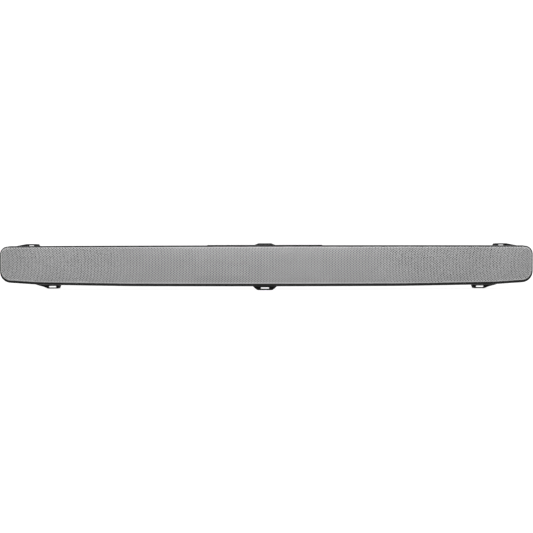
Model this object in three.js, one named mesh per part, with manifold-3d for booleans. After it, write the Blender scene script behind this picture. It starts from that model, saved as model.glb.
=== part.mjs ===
// A one-metre soundbar: a bowed front with a steel grille in a slim bezel, a hollow housing, a rear cover,
// buttons in a strip on top, three slotted feet below, three low lugs above, and the works inside.
//
// Units are millimetres. +X is to the right seen from the front, +Z is up and the front faces -Y.
// The origin is on the surface the feet stand on, in the middle of the bar's length and depth.
import * as THREE from "three";
import { mergeVertices } from "three/addons/utils/BufferGeometryUtils.js";
import Module from "manifold-3d";

const wasm = await Module();
wasm.setup();

// ---------------------------------------------------------------- driving dimensions

const HALF_LENGTH = 500;
const TOP_Z = 82.2; // the top face
const UNDERSIDE = [[0, 6.8], [250, 6.8], [371, 8.2], [425, 8.8], [481, 12.1]]; // belly's [x, height]
const TOP_CORNER_R = 17;
const LOW_CORNER_R = 22;
const CORNER_STEPS = 5;
const MID_Z = 44.5; // height of the drivers' axes
const BOW = 37; // how far the ends of the front lie behind its middle
const GAP = 0.3; // left between pieces that touch

const WALL = 2.8;
const HOUSING_FRONT_Y = -37;
const HOUSING_BACK_Y = 38;
const COVER_BACK_Y = 48;
const REARMOST_Y = 50; // wall plates and port lips

const BEZEL_FRONT_Y = -46;
const BEZEL_SEAT_Y = -42.2;
const RIM = 2.6; // bezel seen round the grille
const RIM_BELOW = 2.4; // extra rim along the bottom
const GRILLE_EDGE_Y = -45.4;
const GRILLE_CROWN = 4.6;
const GRILLE_SHEET = 1;
const CROWN_REACH = 27; // inset at which the grille's crown is flat

const BAFFLE_FRONT_Y = -30;
const BAFFLE_THICK = 4;
const WOOFER_XS = [-395, -237, 237, 395];
const TWEETER_XS = [-316, 316];
const WOOFER_STRAIGHT = 23; // half of a racetrack driver's straight side
const WOOFER_FRAME_R = 31;
const DRIVER_SIDES = 12;

const PANEL_HALF = 105; // control panel
const PANEL_Y = [-35.6, -2];
const PANEL_Z = [81.1, 82.9];
const BUTTON_PITCH = 34;
const BUTTON_Y = -15.5;
const BUTTON_R = 5.5;

const FOOT_DEPTH = 12;
const MIDDLE_LUG_DEPTH = 10.5; // leaves room for the middle button behind it
const FRONT_FOOT_Y = -34;
const REAR_FOOT_Y = 24;
const SLOT_Z = [1.8, 5]; // the slot through each foot

const BAY_X = 98; // half width of the connector bay
const BAY_Z = [28, 62];
const CONNECTOR_PLATE_Y = [31.7, 34];
const CONNECTOR_Z = 45;
const BOARD_Y = [18, 19.6];
const PORT_TUBE_R = 16.7;
const KEYHOLE_X = 230;

// ---------------------------------------------------------------- solids

/** A closed geometry as a solid, with its shared vertices merged. */
function solidFrom(geometry) {
  const bare = geometry.index ? geometry.toNonIndexed() : geometry.clone();
  bare.deleteAttribute("normal");
  bare.deleteAttribute("uv");
  const merged = mergeVertices(bare, 1e-4);
  return new wasm.Manifold(
    new wasm.Mesh({
      numProp: 3,
      vertProperties: merged.attributes.position.array,
      triVerts: new Uint32Array(merged.index.array),
    }),
  );
}

/** A solid as a geometry with flat-shaded faces. */
function geometryFrom(solid) {
  const mesh = solid.getMesh();
  const indexed = new THREE.BufferGeometry();
  indexed.setAttribute("position", new THREE.BufferAttribute(mesh.vertProperties.slice(), 3));
  indexed.setIndex(new THREE.BufferAttribute(mesh.triVerts.slice(), 1));
  const geometry = indexed.toNonIndexed();
  geometry.computeVertexNormals();
  return geometry;
}

/** A box between pairs of limits. */
function block([x0, x1], [y0, y1], [z0, z1]) {
  const box = new THREE.BoxGeometry(x1 - x0, y1 - y0, z1 - z0);
  return solidFrom(box.translate((x0 + x1) / 2, (y0 + y1) / 2, (z0 + z1) / 2));
}

/** A cylinder along Y through (x, z). */
function rodY(radius, [y0, y1], x, z, sides = 24) {
  const rod = new THREE.CylinderGeometry(radius, radius, y1 - y0, sides);
  return solidFrom(rod.translate(x, (y0 + y1) / 2, z));
}

/** A cylinder along Z through (x, y). */
function rodZ(radius, [z0, z1], x, y, sides = 16) {
  const rod = new THREE.CylinderGeometry(radius, radius, z1 - z0, sides).rotateX(Math.PI / 2);
  return solidFrom(rod.translate(x, y, (z0 + z1) / 2));
}

/** An outline of [x, z] points, counter-clockwise from the front, drawn out from y0 to y1. */
function prismY(outline, [y0, y1]) {
  const shape = new THREE.Shape(outline.map(([x, z]) => new THREE.Vector2(x, z)));
  const drawn = new THREE.ExtrudeGeometry(shape, { depth: y1 - y0, bevelEnabled: false });
  return solidFrom(drawn.rotateX(Math.PI / 2).translate(0, y1, 0));
}

/** A profile of [radius, y] points turned about the Y axis. */
function turned(profile, sides) {
  return solidFrom(new THREE.LatheGeometry(profile.map(([r, y]) => new THREE.Vector2(r, y)), sides));
}

/** Triangles that close a ring of points by a fan. */
function fan(count) {
  return Array.from({ length: count - 2 }, (_, i) => [0, i + 1, i + 2]);
}

/** Triangles that close a body ring, whose lower points and upper points stand over each other. */
function ladder(count) {
  const steps = count / 2 - 1;
  return Array.from({ length: steps }, (_, i) => [
    [i, i + 1, count - 2 - i],
    [i, count - 2 - i, count - 1 - i],
  ]).flat();
}

/** A solid through rings of points, given from front to back and each counter-clockwise seen from the front.
 *  Without a cap function the last ring joins the first, which makes a hoop. */
function loft(rings, cap) {
  const count = rings[0].length;
  const faces = [];
  const bands = cap ? rings.length - 1 : rings.length;
  for (let band = 0; band < bands; band++) {
    const front = band * count;
    const back = ((band + 1) % rings.length) * count;
    for (let i = 0; i < count; i++) {
      const next = (i + 1) % count;
      faces.push([front + i, back + i, back + next], [front + i, back + next, front + next]);
    }
  }
  if (cap) {
    const last = (rings.length - 1) * count;
    for (const [a, b, c] of cap(count)) faces.push([a, b, c], [last + a, last + c, last + b]);
  }
  const geometry = new THREE.BufferGeometry().setFromPoints(rings.flat());
  geometry.setIndex(faces.flat());
  return solidFrom(geometry);
}

const unite = (...solids) => solids.reduce((sum, solid) => sum.add(solid));
const cut = (body, ...tools) => tools.reduce((rest, tool) => rest.subtract(tool), body);

// ---------------------------------------------------------------- the bar's outline

const bowAt = (x) => BOW * (x / HALF_LENGTH) ** 2;
const bowSlopeAt = (x) => (2 * BOW * x) / HALF_LENGTH ** 2;

/** Height of the underside at x, with no corner. */
function bellyAt(x) {
  const at = Math.abs(x);
  const next = UNDERSIDE.findIndex(([knot]) => knot >= at);
  if (next < 0) return UNDERSIDE.at(-1)[1];
  if (next === 0) return UNDERSIDE[0][1];
  const [x0, z0] = UNDERSIDE[next - 1];
  const [x1, z1] = UNDERSIDE[next];
  return z0 + ((at - x0) / (x1 - x0)) * (z1 - z0);
}

/** The bar's outline drawn in by inset, and by insetBelow along the bottom, at depth y.
 *  share says how much of the front's bow the ring follows. */
function bodyRing(inset, y, share = 0, insetBelow = inset) {
  const half = HALF_LENGTH - inset;
  const lowR = Math.max(LOW_CORNER_R - inset, 2);
  const topR = Math.max(TOP_CORNER_R - inset, 2);
  const straight = UNDERSIDE.slice(0, -1).map(([x]) => x);
  if (straight[1] - straight[0] > 125) straight.splice(1, 0, 125);
  const corner = Array.from(
    { length: CORNER_STEPS + 1 },
    (_, i) => half - lowR + lowR * Math.sin((i / CORNER_STEPS) * (Math.PI / 2)),
  );
  const right = [...straight, ...corner];
  const xs = [...right.slice(1).reverse().map((x) => -x), ...right];
  const drop = (x, radius) => {
    const past = Math.max(0, Math.abs(x) - (half - radius));
    return radius - Math.sqrt(Math.max(0, radius ** 2 - past ** 2));
  };
  const point = (x, z) => new THREE.Vector3(x, y + share * bowAt(x), z);
  const low = xs.map((x) => point(x, bellyAt(x) + insetBelow + drop(x, lowR)));
  const high = xs.map((x) => point(x, TOP_Z - inset - drop(x, topR)));
  return [...low, ...high.reverse()];
}

/** A racetrack of points round a straight side of half length, seen from the front. */
function racetrack(half, radius, y) {
  const perEnd = DRIVER_SIDES / 2;
  return Array.from({ length: DRIVER_SIDES }, (_, i) => {
    const end = i < perEnd ? 1 : -1;
    const angle = (((i % perEnd) + 0.5) / perEnd - 0.5) * Math.PI + (end > 0 ? 0 : Math.PI);
    return new THREE.Vector3(end * half + radius * Math.cos(angle), y, radius * Math.sin(angle));
  });
}

const racetracks = (rings, cap) => loft(rings.map(([half, radius, y]) => racetrack(half, radius, y)), cap);

// ---------------------------------------------------------------- materials and placing

const FINISHES = {
  black_plastic: { color: 0x232325, roughness: 0.55, metalness: 0 },
  gloss_black: { color: 0x0c0c0e, roughness: 0.12, metalness: 0 },
  grille_steel: { color: 0xb4b5b7, roughness: 0.45, metalness: 0.3 },
  cloth: { color: 0x191919, roughness: 0.95, metalness: 0 },
  rubber: { color: 0x161616, roughness: 0.8, metalness: 0 },
  smoked_lens: { color: 0x101214, roughness: 0.08, metalness: 0 },
  circuit_board: { color: 0x14402a, roughness: 0.5, metalness: 0 },
  zinc_steel: { color: 0xa8abad, roughness: 0.35, metalness: 0.9 },
  aluminium: { color: 0xbfc2c4, roughness: 0.4, metalness: 0.9 },
  cone_paper: { color: 0x26282a, roughness: 0.85, metalness: 0 },
  magnet_steel: { color: 0x6f7275, roughness: 0.4, metalness: 0.9 },
  transformer_core: { color: 0x8a6a2e, roughness: 0.6, metalness: 0.2 },
};
const MATERIALS = Object.fromEntries(
  Object.entries(FINISHES).map(([name, look]) => [name, new THREE.MeshStandardMaterial(look)]),
);

const soundbar = new THREE.Group();

function place(name, finish, solid, parent = soundbar) {
  const mesh = new THREE.Mesh(geometryFrom(solid), MATERIALS[finish]);
  mesh.name = name;
  parent.add(mesh);
  return mesh;
}

// ---------------------------------------------------------------- housing, cover and front

/** Main housing: a tube with the bar's outline, open at both ends, with the control panel's recess on top. */
function mainHousing() {
  const outer = loft(
    [
      bodyRing(1, HOUSING_FRONT_Y, 1),
      bodyRing(0.2, -34, 1),
      bodyRing(0, -27, 1),
      bodyRing(0.4, 20),
      bodyRing(1.2, HOUSING_BACK_Y),
    ],
    ladder,
  );
  const inner = loft(
    [
      bodyRing(WALL + 0.2, HOUSING_FRONT_Y - 2, 1),
      bodyRing(WALL + 0.2, 20),
      bodyRing(WALL + 1.2, HOUSING_BACK_Y + 2),
    ],
    ladder,
  );
  const panelRecess = block(
    [-PANEL_HALF - GAP, PANEL_HALF + GAP],
    [HOUSING_FRONT_Y - 5, PANEL_Y[1] + GAP],
    [PANEL_Z[0] - GAP, TOP_Z + 5],
  );
  const buttonWindow = block([-82, 82], [BUTTON_Y - 9, BUTTON_Y + 9], [TOP_Z - 10, TOP_Z + 5]);
  return cut(outer, inner, panelRecess, buttonWindow);
}

/** Where a keyhole's screw head goes: limits of the pocket behind the wall plate at x. */
const keyholePocket = (x, grow) => [
  [x - 11 - grow, x + 11 + grow],
  [39 - grow, COVER_BACK_Y + 2 - 2 * grow],
  [36 - grow, 64 + grow],
];

/** Rear cover: a shallow rounded tray with the connector bay, two keyhole pockets and two port holes. */
function rearCover() {
  const front = HOUSING_BACK_Y + GAP;
  const outer = loft(
    [
      bodyRing(1.2, front),
      bodyRing(1.4, 42),
      bodyRing(2.8, 45.8),
      bodyRing(5.2, 47.5),
      bodyRing(8.4, COVER_BACK_Y),
    ],
    ladder,
  );
  const inner = loft([bodyRing(4.2, front - 1), bodyRing(4.6, 42), bodyRing(8.4, 45.4)], ladder);
  const bayWall = block(
    [-BAY_X - 2, BAY_X + 2],
    [CONNECTOR_PLATE_Y[1] + GAP, 47],
    [BAY_Z[0] - 2, BAY_Z[1] + 2],
  );
  const bay = block([-BAY_X, BAY_X], [CONNECTOR_PLATE_Y[1] - 1, COVER_BACK_Y + 2], BAY_Z);
  const pocketWalls = [-KEYHOLE_X, KEYHOLE_X].map((x) => block(...keyholePocket(x, 2)));
  const pockets = [-KEYHOLE_X, KEYHOLE_X].map((x) => block(...keyholePocket(x, 0)));
  const portHoles = TWEETER_XS.map((x) => rodY(PORT_TUBE_R + GAP, [36, 52], x, MID_Z));
  return cut(unite(cut(outer, inner), bayWall, ...pocketWalls), bay, ...pockets, ...portHoles);
}

/** Bezel: the slim frame in front of the housing, with a seat for the grille. */
function frontBezel() {
  const outer = loft(
    [bodyRing(1.6, BEZEL_FRONT_Y, 1), bodyRing(1.2, -45.2, 1), bodyRing(1.2, HOUSING_FRONT_Y - GAP, 1)],
    ladder,
  );
  const seat = loft(
    [
      bodyRing(RIM, BEZEL_FRONT_Y - 2, 1, RIM + RIM_BELOW),
      bodyRing(RIM, BEZEL_SEAT_Y, 1, RIM + RIM_BELOW),
    ],
    ladder,
  );
  const opening = loft([bodyRing(8, BEZEL_SEAT_Y - 2, 1), bodyRing(8, HOUSING_FRONT_Y + 2, 1)], ladder);
  return cut(outer, seat, opening);
}

/** How far the grille stands forward of its own edge, at an inset from that edge. */
const crownAt = (inset) => GRILLE_CROWN * (1 - (1 - Math.min(inset / CROWN_REACH, 1)) ** 2);

/** Grille: a crowned steel pan whose edge turns back into the bezel's seat. */
function frontGrille() {
  const edge = RIM + GAP;
  const sheet = (inset, back) =>
    bodyRing(edge + inset, GRILLE_EDGE_Y - crownAt(inset) + back, 1, edge + RIM_BELOW + inset);
  const rimBack = BEZEL_SEAT_Y - GAP - GRILLE_EDGE_Y;
  return loft(
    [
      ...[27, 17, 8, 0.8].map((inset) => sheet(inset, 0)),
      bodyRing(edge, GRILLE_EDGE_Y + 0.4, 1, edge + RIM_BELOW),
      bodyRing(edge, GRILLE_EDGE_Y + rimBack, 1, edge + RIM_BELOW),
      bodyRing(edge + GRILLE_SHEET, GRILLE_EDGE_Y + rimBack, 1, edge + RIM_BELOW + GRILLE_SHEET),
      ...[GRILLE_SHEET, 8, 17, 27].map((inset) => sheet(inset, GRILLE_SHEET)),
    ],
    ladder,
  );
}

// The display stands behind the grille, left of the middle, on a carrier that fills a hole in the cloth.
const CARRIER = { x: [-123, 101], z: [24.6, 73] };
const LENS = { x: [-122.5, -29], z: [25, 50] };

/** Acoustic cloth: the dark scrim inside the bezel, with a hole for the display carrier. */
function acousticCloth() {
  const sheet = loft([bodyRing(8.4, -41.4, 1), bodyRing(8.4, -40.7, 1)], ladder);
  const hole = block(
    CARRIER.x.map((x, i) => x + (i ? 0.6 : -0.6)),
    [-45, -35],
    CARRIER.z.map((z, i) => z + (i ? 0.6 : -0.6)),
  );
  return cut(sheet, hole);
}

/** Baffle: the bowed board that carries the drivers. */
function frontBaffle() {
  const board = loft(
    [
      bodyRing(WALL + 0.6, BAFFLE_FRONT_Y, 1),
      bodyRing(WALL + 0.6, BAFFLE_FRONT_Y + BAFFLE_THICK, 1),
    ],
    ladder,
  );
  const wooferHoles = WOOFER_XS.map((x) =>
    racetracks([[WOOFER_STRAIGHT, 27.2, -8], [WOOFER_STRAIGHT, 27.2, 12]], fan).translate(
      [x, BAFFLE_FRONT_Y + bowAt(x), MID_Z],
    ),
  );
  const tweeterHoles = TWEETER_XS.map((x) => rodY(19.6, [-40, 0], x, MID_Z, DRIVER_SIDES));
  return cut(board, ...wooferHoles, ...tweeterHoles);
}

place("main_housing", "black_plastic", mainHousing());
place("rear_cover", "black_plastic", rearCover());
place("front_bezel", "black_plastic", frontBezel());
place("front_grille", "grille_steel", frontGrille());
place("acoustic_cloth", "cloth", acousticCloth());
place("front_baffle", "black_plastic", frontBaffle());

// ---------------------------------------------------------------- controls on top

const BUTTONS = ["power", "source", "wireless", "volume_down", "volume_up"];
const buttonX = (i) => (i - (BUTTONS.length - 1) / 2) * BUTTON_PITCH;

/** Control panel: a gloss strip with a round hole for each button. */
function controlPanel() {
  const strip = block([-PANEL_HALF, PANEL_HALF], PANEL_Y, PANEL_Z);
  const holes = BUTTONS.map((_, i) => rodZ(BUTTON_R + GAP, [70, 90], buttonX(i), BUTTON_Y));
  return cut(strip, ...holes);
}

/** A button: a cap in the panel's hole, a flange that keeps it in, and a stem over its switch. */
function button(x) {
  return unite(
    rodZ(BUTTON_R, [80.4, 83.2], x, BUTTON_Y),
    rodZ(BUTTON_R + 1.6, [79.4, 80.8], x, BUTTON_Y),
    rodZ(1.6, [74.6, 79.8], x, BUTTON_Y, 8),
  );
}

/** Control board: a circuit board with a switch under each button. */
function controlBoard() {
  const board = block([-88, 88], [BUTTON_Y - 8.5, BUTTON_Y + 8.5], [69.4, 71]);
  const switches = BUTTONS.map((_, i) =>
    block([buttonX(i) - 3, buttonX(i) + 3], [BUTTON_Y - 3, BUTTON_Y + 3], [70.5, 73.8]),
  );
  return unite(board, ...switches);
}

place("control_panel", "gloss_black", controlPanel());
BUTTONS.forEach((name, i) => place(`button_${name}`, "gloss_black", button(buttonX(i))));
place("control_board", "circuit_board", controlBoard());

// ---------------------------------------------------------------- display

/** Display carrier: a dark plate with a window for the lit digits. */
function displayCarrier() {
  const plate = block(CARRIER.x, [-38.4, -36.4], CARRIER.z);
  const window = block([LENS.x[0] + 3, LENS.x[1] - 3], [-42, -34], [LENS.z[0] + 3, LENS.z[1] - 3]);
  return cut(plate, window);
}

/** Display board: a circuit board with four seven-segment digit blocks. */
function displayBoard() {
  const board = block([-119, -33], [-36.1, -34.6], [26, 49]);
  const digits = [0, 1, 2, 3].map((i) => {
    const x = -115 + i * 20;
    return block([x, x + 17], [-38.2, -35.8], [30, 45]);
  });
  return unite(board, ...digits);
}

place("display_carrier", "gloss_black", displayCarrier());
place("display_window", "smoked_lens", block(LENS.x, [-40.7, -38.7], LENS.z));
place("display_board", "circuit_board", displayBoard());

// ---------------------------------------------------------------- feet and lugs

/** A slotted foot from its outline, its slot's limits and its depth. */
function slottedFoot(outline, slotX, slotZ, y) {
  return cut(prismY(outline, [y, y + FOOT_DEPTH]), block(slotX, [y - 2, y + FOOT_DEPTH + 2], slotZ));
}

/** Middle foot: even flanks, near the front. */
function middleFoot() {
  const top = bellyAt(0) - GAP;
  const outline = [[-13.3, 0], [13.3, 0], [18.1, 3.4], [22, top], [-22, top], [-18.1, 3.4]];
  return slottedFoot(outline, [-7.6, 7.6], [2.3, 5.1], FRONT_FOOT_Y);
}

/** End foot on one side: a steep inner flank and a long outer flank along the rising underside. */
function endFoot(side) {
  const right = [
    [402.8, 0],
    [422.3, 0],
    [430.6, 3.4],
    [444.5, bellyAt(444.5) - 3],
    [451, bellyAt(451) - GAP],
    [425, bellyAt(425) - GAP],
    [399.8, bellyAt(399.8) - GAP],
  ];
  const outline = side > 0 ? right : right.map(([x, z]) => [-x, z]).reverse();
  const slotX = side > 0 ? [406.5, 424.5] : [-424.5, -406.5];
  return slottedFoot(outline, slotX, SLOT_Z, REAR_FOOT_Y);
}

/** End lug on one side: a low bridge on the top face that a strap can pass under. */
function endLug(side) {
  const foot = TOP_Z + GAP;
  const right = [[441, foot], [486.5, foot], [463.5, 86.6], [443.5, 86.6]];
  const outline = side > 0 ? right : right.map(([x, z]) => [-x, z]).reverse();
  const slot = side > 0 ? [449, 463] : [-463, -449];
  const tall = [TOP_Z - 1, TOP_Z + 2];
  return cut(prismY(outline, [REAR_FOOT_Y, REAR_FOOT_Y + FOOT_DEPTH]), block(slot, [20, 40], tall));
}

/** Middle lug: solid, with even flanks, on the front edge of the control panel over the middle foot. */
function middleLug() {
  const foot = PANEL_Z[1] + GAP;
  const outline = [[-18.6, foot], [18.6, foot], [11.6, 85.7], [-11.6, 85.7]];
  return prismY(outline, [FRONT_FOOT_Y, FRONT_FOOT_Y + MIDDLE_LUG_DEPTH]);
}

place("foot_middle", "rubber", middleFoot());
place("foot_left", "rubber", endFoot(-1));
place("foot_right", "rubber", endFoot(1));
place("lug_middle", "rubber", middleLug());
place("lug_left", "rubber", endLug(-1));
place("lug_right", "rubber", endLug(1));

// ---------------------------------------------------------------- drivers

/** A group at the baffle's front face at x, turned so that its -Y axis leaves the bowed board squarely. */
function driverMount(x) {
  const mount = new THREE.Group();
  mount.position.set(x, BAFFLE_FRONT_Y + bowAt(x), MID_Z);
  mount.rotation.z = Math.atan(bowSlopeAt(x));
  soundbar.add(mount);
  return mount;
}

/** Woofer basket: a flange in front of the baffle and a windowed bowl through it. */
function wooferBasket() {
  const bowl = racetracks(
    [
      [WOOFER_STRAIGHT, WOOFER_FRAME_R, -3.2],
      [WOOFER_STRAIGHT, WOOFER_FRAME_R, -0.7],
      [WOOFER_STRAIGHT, 26.4, -0.7],
      [WOOFER_STRAIGHT, 26.4, 3],
      [8, 23, 14.4],
    ],
    fan,
  );
  const hollow = racetracks([[WOOFER_STRAIGHT, 24.8, -4], [WOOFER_STRAIGHT, 24.8, 2.4], [7, 21.4, 13]], fan);
  const coilHole = racetracks([[0, 12.6, 12], [0, 12.6, 16]], fan);
  const windows = block([-15, 15], [4.5, 10], [-40, 40]);
  return cut(bowl, hollow, coilHole, windows);
}

/** Woofer surround: the rubber half roll between flange and cone. */
function wooferSurround() {
  const profile = [
    [28.4, -4.2], [25.2, -4.2], [23.9, -6.2], [21.5, -6.2], [20.2, -4.2],
    [20.2, -3.5], [21.9, -5.4], [23.5, -5.4], [24.8, -3.5], [28.4, -3.5],
  ];
  return racetracks(profile.reverse().map(([radius, y]) => [WOOFER_STRAIGHT, radius, y]));
}

/** Woofer cone with its dust cap and the voice coil's former behind it. */
function wooferCone() {
  return racetracks(
    [
      [4, 3, 1.2],
      [6, 8, 3],
      [6.5, 11, 6.4],
      [WOOFER_STRAIGHT, 19.7, -3.8],
      [WOOFER_STRAIGHT, 19.7, -3],
      [6.5, 11.4, 7.6],
      [0, 10.6, 9],
      [0, 10.6, 20],
      [0, 9.8, 20],
      [0, 9.8, 10],
    ],
    fan,
  );
}

/** A driver's magnet: pole, ring gap and cup, turned about the driver's axis. */
function magnet({ pole, gapR, cupR, front, gapBack, back }) {
  return turned(
    [
      [0, front], [pole, front], [pole, gapBack], [gapR, gapBack], [gapR, front],
      [cupR - 2, front], [cupR, front + 2], [cupR, back - 2], [cupR - 2, back], [0, back],
    ],
    DRIVER_SIDES,
  );
}

/** Tweeter face: a ring with a short flare round the dome. */
function tweeterFrame() {
  const profile = [
    [13.6, -1], [15.6, -3.4], [23.4, -3.4], [24, -0.6], [18.6, -0.6], [18.6, 3], [13.6, 3], [13.6, -1],
  ];
  return turned(profile, DRIVER_SIDES);
}

/** Tweeter dome with its coil former. */
function tweeterDome() {
  const profile = [
    [0, -6.6], [5, -5.9], [9.4, -3.6], [13, 0], [13, 1.4],
    [12.2, 1.4], [12.2, 6], [11.5, 6], [11.5, 0], [8.6, -2.8], [0, -5.6],
  ];
  return turned(profile, DRIVER_SIDES);
}

WOOFER_XS.forEach((x, i) => {
  const mount = driverMount(x);
  const name = (piece) => `woofer_${i + 1}_${piece}`;
  place(name("basket"), "black_plastic", wooferBasket(), mount);
  place(name("surround"), "rubber", wooferSurround(), mount);
  place(name("cone"), "cone_paper", wooferCone(), mount);
  const cup = { pole: 9.1, gapR: 11.4, cupR: 26, front: 14.7, gapBack: 23.5, back: 31 };
  place(name("magnet"), "magnet_steel", magnet(cup), mount);
});

TWEETER_XS.forEach((x, i) => {
  const mount = driverMount(x);
  const name = (piece) => `tweeter_${i + 1}_${piece}`;
  place(name("frame"), "black_plastic", tweeterFrame(), mount);
  place(name("dome"), "cone_paper", tweeterDome(), mount);
  const cup = { pole: 10.8, gapR: 13, cupR: 17, front: 3.4, gapBack: 8, back: 13 };
  place(name("magnet"), "magnet_steel", magnet(cup), mount);
});

/** Reflex port: a tube flared at its mouth, with a lip on the back of the cover. */
function portTube() {
  const profile = [
    [15.6, 8], [14, 12], [14, 41], [14.6, 46], [16, 48.8], [18.6, REARMOST_Y], [22, REARMOST_Y],
    [22, COVER_BACK_Y + GAP], [PORT_TUBE_R, COVER_BACK_Y + GAP], [PORT_TUBE_R, 8], [15.6, 8],
  ];
  return turned(profile.reverse(), 24);
}

TWEETER_XS.forEach((x, i) => {
  const tube = place(`port_tube_${i ? "right" : "left"}`, "black_plastic", portTube());
  tube.position.set(x, 0, MID_Z);
});

// ---------------------------------------------------------------- electronics

/** A circuit board with blocks for its parts, each given as x, y and z limits. */
const board = (x, z, parts) => unite(block(x, BOARD_Y, z), ...parts.map((limits) => block(...limits)));

/** Heat sink: a base with upright fins. */
function heatSink() {
  const base = block([-64, -12], [14.4, 17.4], [26, 62]);
  const finXs = Array.from({ length: 7 }, (_, i) => -64 + i * 8.3);
  const fins = finXs.map((x) => block([x, x + 2.2], [3, 15], [26, 62]));
  return unite(base, ...fins);
}

/** Transformer: a core with a winding that stands out of its window. */
function transformer() {
  return unite(block([118, 150], [-2, 17.4], [28, 60]), block([121, 147], [-6, 10], [33, 55]));
}

const MAIN_PARTS = [
  [[10, 34], [15.4, 18.5], [34, 58]],
  [[50, 62], [16, 18.5], [26, 38]],
  [[70, 78], [6, 18.5], [54, 62]],
  [[84, 92], [6, 18.5], [54, 62]],
];
const POWER_PARTS = [
  [[106, 114], [4, 18.5], [24, 40]],
  [[156, 168], [2, 18.5], [24, 36]],
  [[156, 168], [2, 18.5], [52, 64]],
];
const WIRELESS_PARTS = [[[-150, -120], [14, 18.5], [34, 58]]];

place("main_board", "circuit_board", board([-96, 96], [18, 72], MAIN_PARTS));
place("power_board", "circuit_board", board([104, 172], [18, 72], POWER_PARTS));
place("wireless_module", "circuit_board", board([-172, -104], [24, 64], WIRELESS_PARTS));
place("heat_sink", "aluminium", heatSink());
place("power_transformer", "transformer_core", transformer());

// ---------------------------------------------------------------- connectors

const PORT_Y = [BOARD_Y[1] + GAP, 35.4];
const PORTS = { aux: -66, data: -42, optical: -17, video_input: 8, video_return: 34, mains: 70 };

/** A rectangular socket's shell, open at the back, with a contact tongue inside. */
function socket(x, [width, height], [openWidth, openHeight], [tongueWidth, tongueThick], tongueLift) {
  const z = CONNECTOR_Z;
  const shell = block([x - width / 2, x + width / 2], PORT_Y, [z - height / 2, z + height / 2]);
  const mouth = block(
    [x - openWidth / 2, x + openWidth / 2],
    [25, PORT_Y[1] + 2],
    [z - openHeight / 2, z + openHeight / 2],
  );
  const low = z + tongueLift - tongueThick / 2;
  const tongue = block([x - tongueWidth / 2, x + tongueWidth / 2], [24, 33.4], [low, low + tongueThick]);
  return unite(cut(shell, mouth), tongue);
}

/** Round 3.5 mm jack with a square body. */
function auxJack() {
  const body = block([PORTS.aux - 5, PORTS.aux + 5], [PORT_Y[0], 31], [CONNECTOR_Z - 5, CONNECTOR_Z + 5]);
  const nose = rodY(4.2, [29, PORT_Y[1]], PORTS.aux, CONNECTOR_Z);
  return cut(unite(body, nose), rodY(1.8, [22, 40], PORTS.aux, CONNECTOR_Z, 16));
}

/** Optical socket: a square mouth with a round light pipe inside. */
function opticalPort() {
  const x = PORTS.optical;
  const body = block([x - 6.5, x + 6.5], PORT_Y, [CONNECTOR_Z - 6, CONNECTOR_Z + 6]);
  const mouth = block([x - 4.6, x + 4.6], [25, 40], [CONNECTOR_Z - 4.6, CONNECTOR_Z + 4.6]);
  return unite(cut(body, mouth), rodY(1.6, [24, 31], x, CONNECTOR_Z, 12));
}

/** Mains inlet: a figure-of-eight mouth with two pins. */
function mainsInlet() {
  const x = PORTS.mains;
  const z = CONNECTOR_Z;
  const body = block([x - 12, x + 12], PORT_Y, [z - 8, z + 8]);
  const mouth = [-4.3, 4.3].map((side) => rodY(5, [24, 40], x + side, z, 16));
  const pins = [-4.3, 4.3].map((side) => rodY(1.2, [23, 33.4], x + side, z, 10));
  return unite(cut(body, ...mouth), ...pins);
}

/** Connector plate: closes the bay's floor round the sockets. */
function connectorPlate() {
  const z = CONNECTOR_Z;
  const plate = block([-BAY_X - 2, BAY_X + 2], CONNECTOR_PLATE_Y, [BAY_Z[0] - 2, BAY_Z[1] + 2]);
  const around = (x, width, height) =>
    block([x - width / 2 - GAP, x + width / 2 + GAP], [28, 38], [z - height / 2 - GAP, z + height / 2 + GAP]);
  return cut(
    plate,
    around(PORTS.data, 14.4, 7.4),
    around(PORTS.optical, 13, 12),
    around(PORTS.video_input, 16.6, 7),
    around(PORTS.video_return, 16.6, 7),
    around(PORTS.mains, 24, 16),
    rodY(4.2 + GAP, [28, 38], PORTS.aux, z),
  );
}

const VIDEO_SHELL = [[16.6, 7], [14.6, 5], [11, 1.2], 0];
place("connector_plate", "black_plastic", connectorPlate());
place("aux_jack", "black_plastic", auxJack());
place("data_port", "zinc_steel", socket(PORTS.data, [14.4, 7.4], [12.8, 5.6], [11, 1.6], 1));
place("optical_port", "black_plastic", opticalPort());
place("video_input_port", "zinc_steel", socket(PORTS.video_input, ...VIDEO_SHELL));
place("video_return_port", "zinc_steel", socket(PORTS.video_return, ...VIDEO_SHELL));
place("mains_inlet", "black_plastic", mainsInlet());

// ---------------------------------------------------------------- wall plates

/** Wall plate at x: steel, with a keyhole whose narrow end is up. */
function wallPlate(x) {
  const y = [COVER_BACK_Y + GAP, REARMOST_Y];
  const plate = block([x - 32, x + 32], y, [31, 69]);
  const slot = block([x - 2.6, x + 2.6], [46, 52], [45, 57]);
  return cut(
    plate,
    slot,
    rodY(5.2, [46, 52], x, 44.5),
    rodY(2.6, [46, 52], x, 57, 16),
    rodY(2, [46, 52], x - 25, 50, 12),
    rodY(2, [46, 52], x + 25, 50, 12),
  );
}

place("wall_plate_left", "zinc_steel", wallPlate(-KEYHOLE_X));
place("wall_plate_right", "zinc_steel", wallPlate(KEYHOLE_X));

export default soundbar;
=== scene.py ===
"""The looks of a one-metre soundbar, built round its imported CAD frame.

Lengths are in millimetres in the code and in metres on the meshes. +X is to the right seen from the front,
the grille faces -Y and +Z is up. Outlines drawn in the X-Z plane run counter-clockwise seen from the front.
"""

import math

import bmesh
import bpy
import numpy as np
from mathutils import Euler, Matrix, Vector
from mathutils.geometry import delaunay_2d_cdt, tessellate_polygon


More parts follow.
